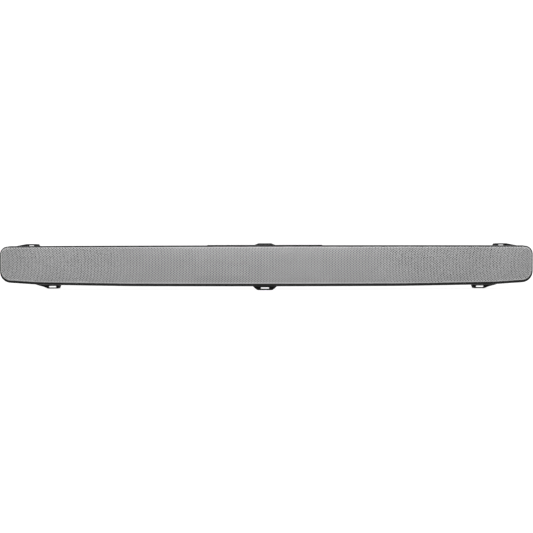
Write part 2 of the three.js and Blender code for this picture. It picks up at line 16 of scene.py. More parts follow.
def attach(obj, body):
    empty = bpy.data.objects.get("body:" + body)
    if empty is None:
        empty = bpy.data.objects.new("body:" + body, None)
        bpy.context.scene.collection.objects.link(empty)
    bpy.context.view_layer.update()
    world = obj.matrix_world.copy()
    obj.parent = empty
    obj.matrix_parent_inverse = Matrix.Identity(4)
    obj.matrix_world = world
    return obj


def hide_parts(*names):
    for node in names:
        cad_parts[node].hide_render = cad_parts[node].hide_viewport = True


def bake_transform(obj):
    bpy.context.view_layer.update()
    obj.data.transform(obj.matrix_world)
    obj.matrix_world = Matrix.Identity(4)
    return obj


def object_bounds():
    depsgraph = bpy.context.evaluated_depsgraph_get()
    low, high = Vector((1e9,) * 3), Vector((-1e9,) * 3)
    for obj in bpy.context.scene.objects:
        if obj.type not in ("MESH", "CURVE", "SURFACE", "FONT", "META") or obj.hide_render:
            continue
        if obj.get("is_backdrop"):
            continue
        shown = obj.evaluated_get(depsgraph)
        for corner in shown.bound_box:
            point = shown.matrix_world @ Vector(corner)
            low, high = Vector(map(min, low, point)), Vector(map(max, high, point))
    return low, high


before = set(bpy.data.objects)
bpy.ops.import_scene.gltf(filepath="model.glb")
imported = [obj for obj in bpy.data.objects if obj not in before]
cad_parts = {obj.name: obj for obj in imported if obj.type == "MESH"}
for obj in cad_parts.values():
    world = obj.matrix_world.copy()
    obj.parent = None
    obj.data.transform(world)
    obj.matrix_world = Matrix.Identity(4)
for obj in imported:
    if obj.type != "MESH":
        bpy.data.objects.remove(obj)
cad_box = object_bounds()
MM = 0.001

# ---------------------------------------------------------------- dimensions, as in the CAD part

HALF_LENGTH = 500.0
TOP_Z = 82.2
BELLY_X = [0, 250, 371, 425, 481]
BELLY_Z = [6.8, 6.8, 8.2, 8.8, 12.1]
TOP_CORNER_R = 17.0
LOW_CORNER_R = 22.0
MID_Z = 44.5
BOW = 37.0
GAP = 0.3

BEZEL_FRONT_Y = -46.0
BEZEL_SEAT_Y = -42.2
RIM = 2.6
RIM_BELOW = 2.4
GRILLE_EDGE_Y = -45.4
GRILLE_CROWN = 4.6
CROWN_REACH = 27.0
SHEET = 0.6

WOOFER_XS = [-395, -237, 237, 395]
TWEETER_XS = [-316, 316]
BAFFLE_FRONT_Y = -30.0
BUTTON_Y = -15.5
BUTTON_PITCH = 34
BUTTONS = ["power", "source", "wireless", "volume_down", "volume_up"]
KEYHOLE_XS = [-230, 230]
COVER_BACK_Y = 48.0
PORT_Z = 45.0

# ---------------------------------------------------------------- materials


class Nodes:
    """Short hand for building a material's node tree."""

    def __init__(self, name):
        self.material = bpy.data.materials.new(name)
        self.material.use_nodes = True
        self.tree = self.material.node_tree
        self.shader = self.tree.nodes["Principled BSDF"]
        self.where = self.tree.nodes.new("ShaderNodeTexCoord").outputs["Object"]

    def node(self, kind, links=None, **settings):
        made = self.tree.nodes.new(kind)
        for key, value in settings.items():
            if hasattr(made, key):
                setattr(made, key, value)
            else:
                made.inputs[key.replace("_", " ").title()].default_value = value
        for socket, source in (links or {}).items():
            self.tree.links.new(source, made.inputs[socket])
        return made

    def noise(self, scale, detail=3.0, roughness=0.55, stretch=None):
        """Noise over the object's own metres, so scale is features per metre."""
        where = self.where
        if stretch:
            mapping = self.node("ShaderNodeMapping", {"Vector": where})
            mapping.inputs["Scale"].default_value = stretch
            where = mapping.outputs["Vector"]
        made = self.node("ShaderNodeTexNoise", {"Vector": where})
        made.inputs["Scale"].default_value = scale
        made.inputs["Detail"].default_value = detail
        made.inputs["Roughness"].default_value = roughness
        return made.outputs["Fac"]

    def spread(self, source, low, high, start=0.3, end=0.7):
        """Maps source from start..end to low..high."""
        made = self.node("ShaderNodeMapRange", {"Value": source})
        for key, value in (("From Min", start), ("From Max", end), ("To Min", low), ("To Max", high)):
            made.inputs[key].default_value = value
        return made.outputs["Result"]

    def blend(self, share, first, second):
        """A colour between first and second by share."""
        ramp = self.node("ShaderNodeValToRGB", {"Fac": share})
        ramp.color_ramp.elements[0].color = (*first, 1)
        ramp.color_ramp.elements[1].color = (*second, 1)
        return ramp.outputs["Color"]

    def to(self, socket, source):
        self.tree.links.new(source, self.shader.inputs[socket])

    def set(self, **values):
        for key, value in values.items():
            self.shader.inputs[key.replace("_", " ")].default_value = value

    def bump(self, *layers):
        """Stacks bumps, each a (height source, strength, distance in metres)."""
        normal = None
        for height, strength, distance in layers:
            links = {"Height": height}
            if normal is not None:
                links["Normal"] = normal
            made = self.node("ShaderNodeBump", links)
            made.inputs["Strength"].default_value = strength
            made.inputs["Distance"].default_value = distance
            normal = made.outputs["Normal"]
        self.to("Normal", normal)


def plastic(name, dark, light, rough, grain=1400, depth=0.35, ior=1.5):
    """Moulded plastic: a fine spark-eroded texture, cloudy gloss and slight shade changes."""
    n = Nodes(name)
    n.to("Base Color", n.blend(n.spread(n.noise(35, 4), 0, 1), dark, light))
    n.to("Roughness", n.spread(n.noise(60, 5), rough - 0.06, rough + 0.07))
    fine = n.noise(grain, 2, 0.6)
    broad = n.noise(grain / 5, 3, 0.5)
    n.bump((fine, depth, 0.00006), (broad, depth * 0.5, 0.00008))
    n.set(Metallic=0.0, IOR=ior)
    return n.material


def gloss(name, dark, light, rough=0.1):
    """Polished plastic: almost a mirror, with the faint orange peel and haze of a moulded part."""
    n = Nodes(name)
    n.to("Base Color", n.blend(n.spread(n.noise(20, 3), 0, 1), dark, light))
    n.to("Roughness", n.spread(n.noise(90, 6), rough * 0.6, rough * 1.6))
    n.bump((n.noise(160, 1), 0.03, 0.0002))
    n.set(Metallic=0.0, IOR=1.5, Coat_Weight=0.6, Coat_Roughness=0.04)
    return n.material


def metal(name, dark, light, rough, brushed=None, metallic=1.0):
    """Plated or painted metal, brushed along stretch if it is given."""
    n = Nodes(name)
    n.to("Base Color", n.blend(n.spread(n.noise(45, 5), 0, 1), dark, light))
    lines = n.noise(900, 4, 0.7, brushed)
    n.to("Roughness", n.spread(lines, rough - 0.08, rough + 0.08))
    n.bump((lines, 0.15, 0.00004))
    n.set(Metallic=metallic)
    return n.material


def weave_cloth(name, dark, light, pitch=0.0011):
    """Plain-woven scrim: warp and weft that pass over and under each other. Its colour is darker where the
    weave dips, which is painted shade, times random tone from noise.
    """
    n = Nodes(name)

    def threads(axis):
        part = n.node("ShaderNodeSeparateXYZ", {"Vector": n.where}).outputs[axis]
        turn = n.node("ShaderNodeMath", {0: part}, operation="MULTIPLY")
        turn.inputs[1].default_value = math.pi / pitch
        return n.node("ShaderNodeMath", {0: turn.outputs[0]}, operation="SINE").outputs[0]

    both = n.node("ShaderNodeMath", {0: threads("X"), 1: threads("Z")}, operation="MULTIPLY").outputs[0]
    height = n.spread(both, 0, 1, -1, 1)
    # painted shade: the weave's height darkens the colour in its dips, and the noise adds random tone
    mixed = n.node("ShaderNodeMath", {0: height, 1: n.noise(300, 4)}, operation="MULTIPLY").outputs[0]
    n.to("Base Color", n.blend(mixed, dark, light))
    n.bump((height, 0.6, 0.0002), (n.noise(2500, 3), 0.3, 0.00008))
    n.set(Roughness=0.92, IOR=1.3)
    return n.material


def circuit(name, mask, copper):
    """Solder mask over copper: broad pours and fine tracks as a slight change of shade and height."""
    n = Nodes(name)
    cells = n.node("ShaderNodeTexVoronoi", {"Vector": n.where}, distance="MANHATTAN", feature="F1")
    cells.inputs["Scale"].default_value = 220
    steps = n.spread(cells.outputs["Distance"], 0, 1, 0.35, 0.4)
    n.to("Base Color", n.blend(steps, mask, copper))
    n.bump((steps, 0.3, 0.00004), (n.noise(500, 3), 0.1, 0.00003))
    n.to("Roughness", n.spread(n.noise(80, 3), 0.28, 0.42))
    n.set(Coat_Weight=0.3)
    return n.material


def lacquered_sheet(name):
    """Silver lacquer on the perforated sheet: fine flake and a little cloudiness, barely metallic."""
    n = Nodes(name)
    flake = n.noise(4200, 2, 0.7)
    cloud = n.noise(14, 4)
    mixed = n.node("ShaderNodeMath", {0: flake, 1: cloud}, operation="MULTIPLY").outputs[0]
    n.to("Base Color", n.blend(n.spread(mixed, 0, 1, 0.12, 0.4), (0.26, 0.26, 0.262), (0.31, 0.31, 0.312)))
    n.to("Roughness", n.spread(cloud, 0.62, 0.7))
    n.bump((flake, 0.12, 0.00003))
    n.set(Metallic=0.1, Coat_Weight=0.1, Coat_Roughness=0.3)
    return n.material


SATIN = plastic("satin_black_plastic", (0.014, 0.014, 0.015), (0.024, 0.024, 0.026), 0.42)
BEZEL = plastic("bezel_black_plastic", (0.005, 0.005, 0.005), (0.008, 0.008, 0.008), 0.5, 1800, 0.2, ior=1.22)
INNER = plastic("inner_black_plastic", (0.018, 0.018, 0.019), (0.032, 0.032, 0.033), 0.6, 700, 0.5)
RUBBER = plastic("black_rubber", (0.003, 0.003, 0.003), (0.006, 0.006, 0.006), 0.75, 900, 0.6, ior=1.22)
# painted highlight: the sensor window rim is a lighter grey that stands in for the glints along the window's
# edges
RIM_GLINT_GREY = plastic("grey_rim_painted_highlight", (0.05, 0.05, 0.05), (0.08, 0.08, 0.08), 0.6, 900, 0.5)
GLOSS = gloss("gloss_black", (0.004, 0.004, 0.005), (0.008, 0.008, 0.009))
CARRIER_FACE = gloss("display_carrier_face", (0.004, 0.004, 0.004), (0.007, 0.007, 0.007), 0.3)
LENS = gloss("smoked_lens", (0.006, 0.007, 0.008), (0.012, 0.013, 0.015), 0.06)
ICON = plastic("icon_print", (0.42, 0.42, 0.42), (0.5, 0.5, 0.5), 0.5, 2500, 0.1)
GRILLE = lacquered_sheet("silver_lacquered_sheet")
CLOTH = weave_cloth("scrim_cloth", (0.006, 0.006, 0.006), (0.018, 0.018, 0.018))
ZINC = metal("zinc_plated_steel", (0.5, 0.51, 0.52), (0.66, 0.67, 0.68), 0.34, (1, 14, 1))
NICKEL = metal("nickel_plate", (0.62, 0.6, 0.56), (0.72, 0.7, 0.66), 0.2)
GOLD = metal("gold_contact", (0.75, 0.52, 0.2), (0.86, 0.62, 0.28), 0.22)
STEEL = metal("black_screw_steel", (0.05, 0.05, 0.052), (0.09, 0.09, 0.092), 0.38)
ALUMINIUM = metal("extruded_aluminium", (0.6, 0.61, 0.62), (0.72, 0.73, 0.74), 0.36, (1, 1, 20))
MAGNET = metal("ferrite_and_steel", (0.2, 0.2, 0.21), (0.32, 0.32, 0.33), 0.45, None, 0.7)
TAPE = plastic("yellow_winding_tape", (0.55, 0.38, 0.06), (0.62, 0.45, 0.1), 0.4, 500, 0.3)
BOARD = circuit("green_circuit_board", (0.006, 0.05, 0.02), (0.012, 0.09, 0.035))
CHIP = plastic("chip_epoxy", (0.015, 0.015, 0.016), (0.025, 0.025, 0.026), 0.55, 1600, 0.3)
DIGIT = plastic("digit_block", (0.05, 0.05, 0.05), (0.07, 0.07, 0.07), 0.35, 1200, 0.15)
SEGMENT = plastic("digit_segment", (0.25, 0.25, 0.24), (0.3, 0.3, 0.29), 0.4, 1200, 0.1)
SLEEVE = plastic("capacitor_sleeve", (0.02, 0.03, 0.09), (0.03, 0.045, 0.13), 0.35, 600, 0.2)
CONE = plastic("coated_paper_cone", (0.02, 0.02, 0.022), (0.04, 0.04, 0.042), 0.7, 500, 0.9)
SILK = weave_cloth("silk_dome", (0.03, 0.03, 0.032), (0.07, 0.07, 0.075), 0.0005)

# ---------------------------------------------------------------- meshes


def linked(name, data):
    """A new object for data, in the scene."""
    made = bpy.data.objects.new(name, data)
    bpy.context.scene.collection.objects.link(made)
    return made


def piece(name, verts, faces, material, body="bar", replaces=(), slot=None, sharp=32, tidy=True):
    """A mesh object from points in millimetres. tidy merges doubles and turns the faces outwards."""
    mesh = bpy.data.meshes.new(name)
    mesh.from_pydata((np.asarray(verts, float) * MM).tolist(), [], [tuple(map(int, f)) for f in faces])
    if tidy:
        edit = bmesh.new()
        edit.from_mesh(mesh)
        bmesh.ops.remove_doubles(edit, verts=edit.verts, dist=2e-6)
        bmesh.ops.recalc_face_normals(edit, faces=edit.faces)
        edit.to_mesh(mesh)
        edit.free()
    mesh.shade_smooth()
    mesh.set_sharp_from_angle(angle=math.radians(sharp))
    mesh.materials.append(material)
    made = linked(name, mesh)
    if body:
        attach(made, body)
    if replaces:
        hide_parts(*([replaces] if isinstance(replaces, str) else replaces))
    return made


def joined(*parts):
    """Several (verts, faces) as one."""
    verts, faces, start = [], [], 0
    for more_verts, more_faces in parts:
        more_verts = np.asarray(more_verts, float)
        verts.append(more_verts)
        faces += [tuple(i + start for i in f) for f in more_faces]
        start += len(more_verts)
    return np.concatenate(verts), faces


def moved(shape, x=0.0, y=0.0, z=0.0, turn=0.0):
    """A (verts, faces) turned about Z by turn radians, then moved."""
    verts, faces = shape
    verts = np.asarray(verts, float).copy()
    c, s = math.cos(turn), math.sin(turn)
    xs, ys = verts[:, 0] * c - verts[:, 1] * s, verts[:, 0] * s + verts[:, 1] * c
    verts[:, 0], verts[:, 1], verts[:, 2] = xs + x, ys + y, verts[:, 2] + z
    return verts, faces


def loft(rings, closed=False, ends=None):
    """Quads through rings of points; ends closes the first and last ring with faces of its own."""
    count = len(rings[0])
    verts = np.concatenate([np.asarray(r, float) for r in rings])
    faces = []
    for band in range(len(rings) if closed else len(rings) - 1):
        a, b = band * count, ((band + 1) % len(rings)) * count
        for i in range(count):
            j = (i + 1) % count
            faces.append((a + i, b + i, b + j, a + j))
    if ends:
        last = (len(rings) - 1) * count
        for f in ends(count):
            faces.append(tuple(f))
            faces.append(tuple(last + i for i in reversed(f)))
    return verts, faces


def whole(count):
    return [tuple(range(count))]


def rungs(count):
    """Quads across a body ring, whose lower and upper points stand over each other."""
    return [(i, i + 1, count - 2 - i, count - 1 - i) for i in range(count // 2 - 1)]


def lathe(profile, sides=64, axis="y"):
    """A closed or axis-to-axis profile of (radius, along) turned about an axis."""
    closed = profile[0] == profile[-1]
    points = profile[:-1] if closed else profile
    rings = []
    for radius, along in points:
        angle = np.arange(sides) * 2 * math.pi / sides
        u, v = max(radius, 1e-4) * np.cos(angle), max(radius, 1e-4) * np.sin(angle)
        w = np.full(sides, float(along))
        rings.append(np.stack([u, w, v] if axis == "y" else [u, v, w], 1))
    if closed:
        return loft(rings, closed=True)
    return loft(rings, ends=whole)


def softened(points, radii, steps=5):
    """A polygon with each corner rounded to its radius."""
    points = np.asarray(points, float)
    count = len(points)
    radii = [radii] * count if np.isscalar(radii) else radii
    out = []
    for i in range(count):
        p, a, b = points[i], points[i - 1], points[(i + 1) % count]
        to_a, to_b = a - p, b - p
        la, lb = np.linalg.norm(to_a), np.linalg.norm(to_b)
        to_a, to_b = to_a / la, to_b / lb
        angle = math.acos(float(np.clip(to_a @ to_b, -1, 1)))
        reach = min(radii[i] / math.tan(angle / 2), 0.49 * la, 0.49 * lb) if radii[i] > 0 else 0
        if reach < 1e-6:
            out.append(p)
            continue
        radius = reach * math.tan(angle / 2)
        mid = (to_a + to_b) / np.linalg.norm(to_a + to_b)
        centre = p + mid * (radius / math.sin(angle / 2))
        start, end = p + to_a * reach - centre, p + to_b * reach - centre
        t0, t1 = math.atan2(start[1], start[0]), math.atan2(end[1], end[0])
        sweep = (t1 - t0 + math.pi) % (2 * math.pi) - math.pi
        for k in range(steps + 1):
            t = t0 + sweep * k / steps
            out.append(centre + radius * np.array([math.cos(t), math.sin(t)]))
    return np.array(out)


def rounded_box(x, z, width, height, radius, steps=5):
    w, h = width / 2, height / 2
    corners = [(x - w, z - h), (x + w, z - h), (x + w, z + h), (x - w, z + h)]
    return softened(corners, radius, steps)


def disc(x, z, radius, sides=32):
    angle = np.arange(sides) * 2 * math.pi / sides
    return np.stack([x + radius * np.cos(angle), z + radius * np.sin(angle)], 1)


def area_of(loop):
    x, y = loop[:, 0], loop[:, 1]
    return 0.5 * float(np.sum(x * np.roll(y, -1) - np.roll(x, -1) * y))


def drawn_in(loop, distance):
    """A loop moved to its left by distance, with mitred corners."""
    before, after = np.roll(loop, 1, 0), np.roll(loop, -1, 0)
    e0, e1 = loop - before, after - loop
    e0 /= np.maximum(np.linalg.norm(e0, axis=1, keepdims=True), 1e-9)
    e1 /= np.maximum(np.linalg.norm(e1, axis=1, keepdims=True), 1e-9)
    n0, n1 = np.stack([-e0[:, 1], e0[:, 0]], 1), np.stack([-e1[:, 1], e1[:, 0]], 1)
    mid = n0 + n1
    mid /= np.maximum(np.sum(mid * mid, 1, keepdims=True), 0.4) / 2
    return loop + mid * distance


def plate(outline, holes, low, high, axis="y", ease=(0.0, 0.0), soft=2):
    """A flat plate from low to high along an axis, with holes, its rims eased (rounded) at each face."""
    loops = [outline if area_of(outline) > 0 else outline[::-1]]
    loops += [h if area_of(h) < 0 else h[::-1] for h in holes]
    levels = []
    for side, amount in ((0, ease[0]), (1, ease[1])):
        for k in range(soft + 1) if amount else [soft]:
            angle = k / soft * math.pi / 2
            inward, along = amount * (1 - math.sin(angle)), amount * (1 - math.cos(angle))
            levels.append((inward, low + along if side == 0 else high - along))
    first = levels[: soft + 1] if ease[0] else levels[:1]
    rest = levels[len(first) :]
    levels = first + rest[::-1]
    verts, faces, faces_at = [], [], {0: [], len(levels) - 1: []}
    start = 0
    for loop in loops:
        count = len(loop)
        for level, (inward, along) in enumerate(levels):
            flat = drawn_in(loop, inward) if inward > 1e-6 else loop
            verts += [(u, along, v) if axis == "y" else (u, v, along) for u, v in flat]
            if level in faces_at:
                faces_at[level].append((flat, start + level * count))
            if level:
                a, b = start + (level - 1) * count, start + level * count
                faces += [(a + i, b + i, b + (i + 1) % count, a + (i + 1) % count) for i in range(count)]
        start += count * len(levels)
    for level, flats in faces_at.items():
        index = [first_index + i for flat, first_index in flats for i in range(len(flat))]
        for tri in tessellate_polygon([[Vector((u, v, 0)) for u, v in flat] for flat, _ in flats]):
            corner = tuple(index[i] for i in tri)
            faces.append(corner if level else corner[::-1])
    return np.array(verts), faces


def block(x, y, z, ease=0.4, axis="z", radius=None):
    """A box between pairs of limits, with rounded edges."""
    pairs = {"z": (x, y, z), "y": (x, z, y)}[axis]
    (u0, u1), (v0, v1), (w0, w1) = pairs
    radius = ease * 1.5 if radius is None else radius
    outline = rounded_box((u0 + u1) / 2, (v0 + v1) / 2, u1 - u0, v1 - v0, radius, 3)
    return plate(outline, [], w0, w1, axis, (ease, ease))


def rod(x, z, radius, low, high, sides=24, ease=0.2):
    profile = [(0, low), (radius - ease, low), (radius, low + ease)]
    profile += [(radius, high - ease), (radius - ease, high), (0, high)]
    return moved(lathe(profile, sides), x, 0, z)


# ---------------------------------------------------------------- the bar's outline


def bow(x):
    return BOW * (np.asarray(x, float) / HALF_LENGTH) ** 2


def belly(x):
    """Height of the underside, with its kinks eased over 24 mm."""
    x = np.abs(np.asarray(x, float))
    return sum(np.interp(np.abs(x + t), BELLY_X, BELLY_Z) for t in (-12, -6, 0, 6, 12)) / 5


def drop(past, radius):
    past = np.clip(past, 0, radius)
    return radius - np.sqrt(radius**2 - past**2)


def body_ring(inset, y, share=0.0, below=0.0, step=10.0, corner=18):
    """The bar's outline at depth y, drawn in by inset, and by below more along the bottom."""
    half = HALF_LENGTH - inset
    low_r, top_r = max(LOW_CORNER_R - inset, 2), max(TOP_CORNER_R - inset, 2)
    turn = half - low_r
    straight = np.arange(0, 470.1, step)
    curve = turn + low_r * np.sin(np.linspace(0, 1, corner) * math.pi / 2)
    right = np.concatenate([straight, curve])
    xs = np.concatenate([-right[:0:-1], right])
    past = np.abs(xs) - half
    low = belly(xs) + inset + below + drop(past + low_r, low_r)
    high = TOP_Z - inset - drop(past + top_r, top_r)
    depth = y + share * bow(xs)
    lower = np.stack([xs, depth, low], 1)
    upper = np.stack([xs, depth, high], 1)
    return np.concatenate([lower, upper[::-1]])


# ---------------------------------------------------------------- grille


def crown(inset):
    return GRILLE_CROWN * (1 - (1 - np.clip(inset / CROWN_REACH, -0.2, 1)) ** 2)


def grille_inset(x, z):
    """How far a point of the front lies inside the grille's edge, rounded over the corners."""
    edge = RIM + GAP
    side = HALF_LENGTH - np.abs(x) - edge
    top = TOP_Z - edge - z
    low = z - belly(x) - edge - RIM_BELOW

    def corner(a, b, radius):
        a2, b2 = np.maximum(radius - a, 0), np.maximum(radius - b, 0)
        return radius - np.hypot(a2, b2)

    sharp = np.minimum(corner(side, top, TOP_CORNER_R - edge), corner(side, low, LOW_CORNER_R - edge))
    sharp = np.where((side > 20) & (np.minimum(top, low) > 8), np.minimum(top, low), sharp)
    sharp = np.minimum(sharp, np.minimum(side, np.minimum(top, low)))
    smooth = np.minimum(corner(side, top, CROWN_REACH), corner(side, low, CROWN_REACH))
    share = np.clip(sharp / 14, 0, 1)
    share = share * share * (3 - 2 * share)
    return sharp * (1 - share) + np.maximum(smooth, 0) * share


def grille_point(x, z, depth=0.0):
    """The grille's outer surface over (x, z), or a point that far inside it."""
    x, z = np.asarray(x, float), np.asarray(z, float)

    def height(a, b):
        return GRILLE_EDGE_Y - crown(grille_inset(a, b)) + bow(a)

    y = height(x, z)
    slope_x = (height(x + 0.5, z) - height(x - 0.5, z)) / 1.0
    slope_z = (height(x, z + 0.5) - height(x, z - 0.5)) / 1.0
    normal = np.stack([slope_x, -np.ones_like(y), slope_z], -1)
    normal /= np.linalg.norm(normal, axis=-1, keepdims=True)
    return np.stack([x, y, z], -1) - normal * depth


PITCH = 3.127
HOLE_R = 1.0
HOLE_SIDES = 12
HEX = PITCH / math.sqrt(3)
FILE_STEP = PITCH * math.sqrt(3) / 2
HOLES_MID_Z = MID_Z + 0.7


def cell_places(cells):
    """Where the cells' centres are: files of holes stand side by side along the bar."""
    return -cells[:, 1] * FILE_STEP, HOLES_MID_Z + cells[:, 0] * PITCH / 2


def hole_grid():
    """Centres of the staggered holes, as whole-number heights (in half pitches) and files."""
    cells = []
    for file in range(-186, 187):
        heights = np.arange(-14, 15) * 2 + (file % 2)
        cells.append(np.stack([heights, np.full_like(heights, file)], 1))
    cells = np.concatenate(cells)
    x, z = cell_places(cells)
    inside = np.abs(x) < HALF_LENGTH - RIM - 1
    cells, x, z = cells[inside], x[inside], z[inside]
    keep = grille_inset(x, z) > HEX + 0.75
    return cells[keep], x[keep]


# a hexagon's corners from its centre: heights in half pitches, and thirds of a file
CORNER_STEPS = [(1, 1), (0, 2), (-1, 1), (-1, -1), (0, -2), (1, -1)]


def corner_point(key):
    return -key[1] * FILE_STEP / 3, HOLES_MID_Z + key[0] * PITCH / 2


def perforated(cells):
    """A closed perforated sheet over the given cells: both faces, the holes' walls and the outer walls."""
    keys, hexes = {}, []
    for level, file in cells:
        hexes.append([keys.setdefault((level + up, 3 * file + out), len(keys)) for up, out in CORNER_STEPS])
    flat = np.array([corner_point(k) for k in keys])
    x, z = cell_places(cells)
    angle = np.arange(HOLE_SIDES) * 2 * math.pi / HOLE_SIDES + math.pi / 2
    hole_x = (x[:, None] + HOLE_R * np.cos(angle)).ravel()
    hole_z = (z[:, None] + HOLE_R * np.sin(angle)).ravel()
    corners, rings = len(flat), HOLE_SIDES * len(cells)
    verts = np.concatenate(
        [
            grille_point(flat[:, 0], flat[:, 1]),
            grille_point(hole_x, hole_z),
            grille_point(flat[:, 0], flat[:, 1], SHEET),
            grille_point(hole_x, hole_z, SHEET),
        ]
    )
    back = corners + rings
    faces, seen = [], {}
    for cell, six in enumerate(hexes):
        ring = corners + cell * HOLE_SIDES
        for k in range(6):
            a, b = six[k], six[(k + 1) % 6]
            r = [ring + (2 * k + 1 + i) % HOLE_SIDES for i in range(3)]
            faces.append((a, b, r[2], r[1], r[0]))
            faces.append((back + r[0], back + r[1], back + r[2], back + b, back + a))
            edge = (min(a, b), max(a, b))
            if edge in seen:
                del seen[edge]
            else:
                seen[edge] = (a, b)
        for k in range(HOLE_SIDES):
            p, q = ring + k, ring + (k + 1) % HOLE_SIDES
            faces.append((p, q, back + q, back + p))
    for a, b in seen.values():
        faces.append((b, a, back + a, back + b))
    return verts, faces


def chains_round(loops):
    """The closed chains round a patch of faces: the edges that only one of its loops has."""
    edges = {}
    for loop in loops:
        for a, b in zip(loop, loop[1:] + loop[:1]):
            if (b, a) in edges:
                del edges[(b, a)]
            else:
                edges[(a, b)] = True
    follow = dict(edges.keys())
    chains = []
    while follow:
        start = next(iter(follow))
        chain, at = [start], follow.pop(start)
        while at != start:
            chain.append(at)
            at = follow.pop(at)
        chains.append(chain)
    return chains


def hex_border(cells):
    """The outer boundary of the perforated field, as corner keys in order."""
    hexes = [[(level + up, 3 * file + out) for up, out in CORNER_STEPS] for level, file in cells]
    return max(chains_round(hexes), key=len)


def grille_border(cells):
    """The sheet's solid margin round the holes, and its edge turned back into the seat."""
    inner = np.array([corner_point(k) for k in hex_border(cells)])
    edge = RIM + GAP
    margin = body_ring(edge + 0.9, 0, 1, RIM_BELOW, 6, 22)
    outer = margin[:, [0, 2]]
    points = [Vector(p) for p in np.concatenate([outer, inner])]
    count, n = len(outer), len(inner)
    links = [(i, (i + 1) % count) for i in range(count)]
    links += [(count + i, count + (i + 1) % n) for i in range(n)]
    made = delaunay_2d_cdt(points, links, [], 1, 1e-5)
    flat = np.array([tuple(v) for v in made[0]])
    taken = {tuple(c) for c in cells}
    tris = []
    for tri in made[2]:
        x, z = flat[list(tri)].mean(0)
        up, out = z - HOLES_MID_Z, -x
        file = round(out / FILE_STEP)
        near = [(2 * round((up / (PITCH / 2) - f % 2) / 2) + f % 2, f) for f in (file - 1, file, file + 1)]
        gaps = [math.hypot(level * PITCH / 2 - up, f * FILE_STEP - out) for level, f in near]
        if near[int(np.argmin(gaps))] not in taken:
            tris.append(tuple(tri))
    front = grille_point(flat[:, 0], flat[:, 1])
    back = grille_point(flat[:, 0], flat[:, 1], SHEET)
    used = len(front)
    verts = [front, back]
    faces = [t for t in tris] + [tuple(used + i for i in reversed(t)) for t in tris]
    chains = sorted(chains_round(tris), key=lambda c: -abs(area_of(flat[c])))
    for a, b in zip(chains[1], chains[1][1:] + chains[1][:1]):
        faces.append((b, a, used + a, used + b))
    # the turned edge: rings that carry on from the outer chain, out, round, back, and in again
    chain = chains[0]
    rim = flat[chain]
    order = [int(np.argmin(np.hypot(*(outer - p).T))) for p in rim]
    seat = BEZEL_SEAT_Y - 0.5

    def ring(inset, y):
        return body_ring(edge + inset, y, 1, RIM_BELOW, 6, 22)[order]

    at_edge = GRILLE_EDGE_Y
    bends = [ring(0.5, at_edge - 0.09), ring(0.2, at_edge + 0.06), ring(0.05, at_edge + 0.3)]
    bends += [ring(0, at_edge + 0.7), ring(0, seat), ring(SHEET, seat), ring(SHEET, at_edge + 0.9)]
    total = 2 * used
    size = len(chain)
    previous = chain
    for k, bend in enumerate(bends):
        verts.append(bend)
        here = [total + k * size + i for i in range(size)]
        for i in range(size):
            j = (i + 1) % size
            faces.append((previous[i], here[i], here[j], previous[j]))
        previous = here
    ending = [used + i for i in chain]
    for i in range(size):
        j = (i + 1) % size
        faces.append((previous[i], ending[i], ending[j], previous[j]))
    return np.concatenate(verts), faces


cells, hole_x = hole_grid()
PANELS = 8
limits = np.linspace(-HALF_LENGTH, HALF_LENGTH, PANELS + 1)
for panel in range(PANELS):
    chosen = cells[(hole_x >= limits[panel]) & (hole_x < limits[panel + 1])]
    piece(
        f"grille_mesh_{panel + 1}", *perforated(chosen), GRILLE, "bar", "front_grille", "grille_steel", 40,
        False,
    )
piece("grille_edge", *grille_border(cells), GRILLE, "bar", "front_grille", "grille_steel", 50)

# ---------------------------------------------------------------- bezel, housing and cover


def body_hoop(profile):
    """A hoop from a closed section of (inset, y, extra inset along the bottom)."""
    return loft([body_ring(i, y, 1, below) for i, y, below in profile], closed=True)


bezel_profile = [
    (RIM, -45.6, RIM_BELOW), (RIM - 0.1, -45.88, RIM_BELOW), (RIM - 0.35, BEZEL_FRONT_Y, RIM_BELOW),
    (1.95, BEZEL_FRONT_Y, 0), (1.6, -45.87, 0), (1.32, -45.55, 0), (1.2, -45.1, 0),
    (1.2, -37.6, 0), (1.5, -37.3, 0), (8, -37.3, 0), (8, -42.0, 0), (8.3, BEZEL_SEAT_Y, 0),
    (RIM, BEZEL_SEAT_Y, RIM_BELOW),
]
piece("bezel_frame", *body_hoop(bezel_profile), BEZEL, "bar", "front_bezel", "black_plastic", 40)


def housing_rings():
    outer = [
        (1.7, -37, 1), (0.95, -36.85, 1), (0.5, -36.3, 1), (0.25, -35.2, 1), (0.1, -33, 1), (0, -30, 1),
        (0, -27, 1), (0.02, -20, 0.93), (0.06, -12, 0.78), (0.1, -4, 0.58), (0.15, 4, 0.36),
        (0.22, 12, 0.15), (0.3, 20, 0), (0.55, 29, 0), (0.8, 36.9, 0), (1.0, 37.6, 0), (1.5, 38, 0),
    ]
    inner = [(3.9, 38, 0), (3.4, 30, 0), (3.2, 20, 0), (3.1, 4, 0.36), (3, -12, 0.78), (3, -37, 1)]
    return [body_ring(i, y, share) for i, y, share in outer + inner]


def cutter(name, shape):
    """A hidden-away object used once as a knife."""
    mesh = bpy.data.meshes.new(name)
    mesh.from_pydata((np.asarray(shape[0]) * MM).tolist(), [], shape[1])
    edit = bmesh.new()
    edit.from_mesh(mesh)
    bmesh.ops.recalc_face_normals(edit, faces=edit.faces)
    edit.to_mesh(mesh)
    edit.free()
    return linked(name, mesh)


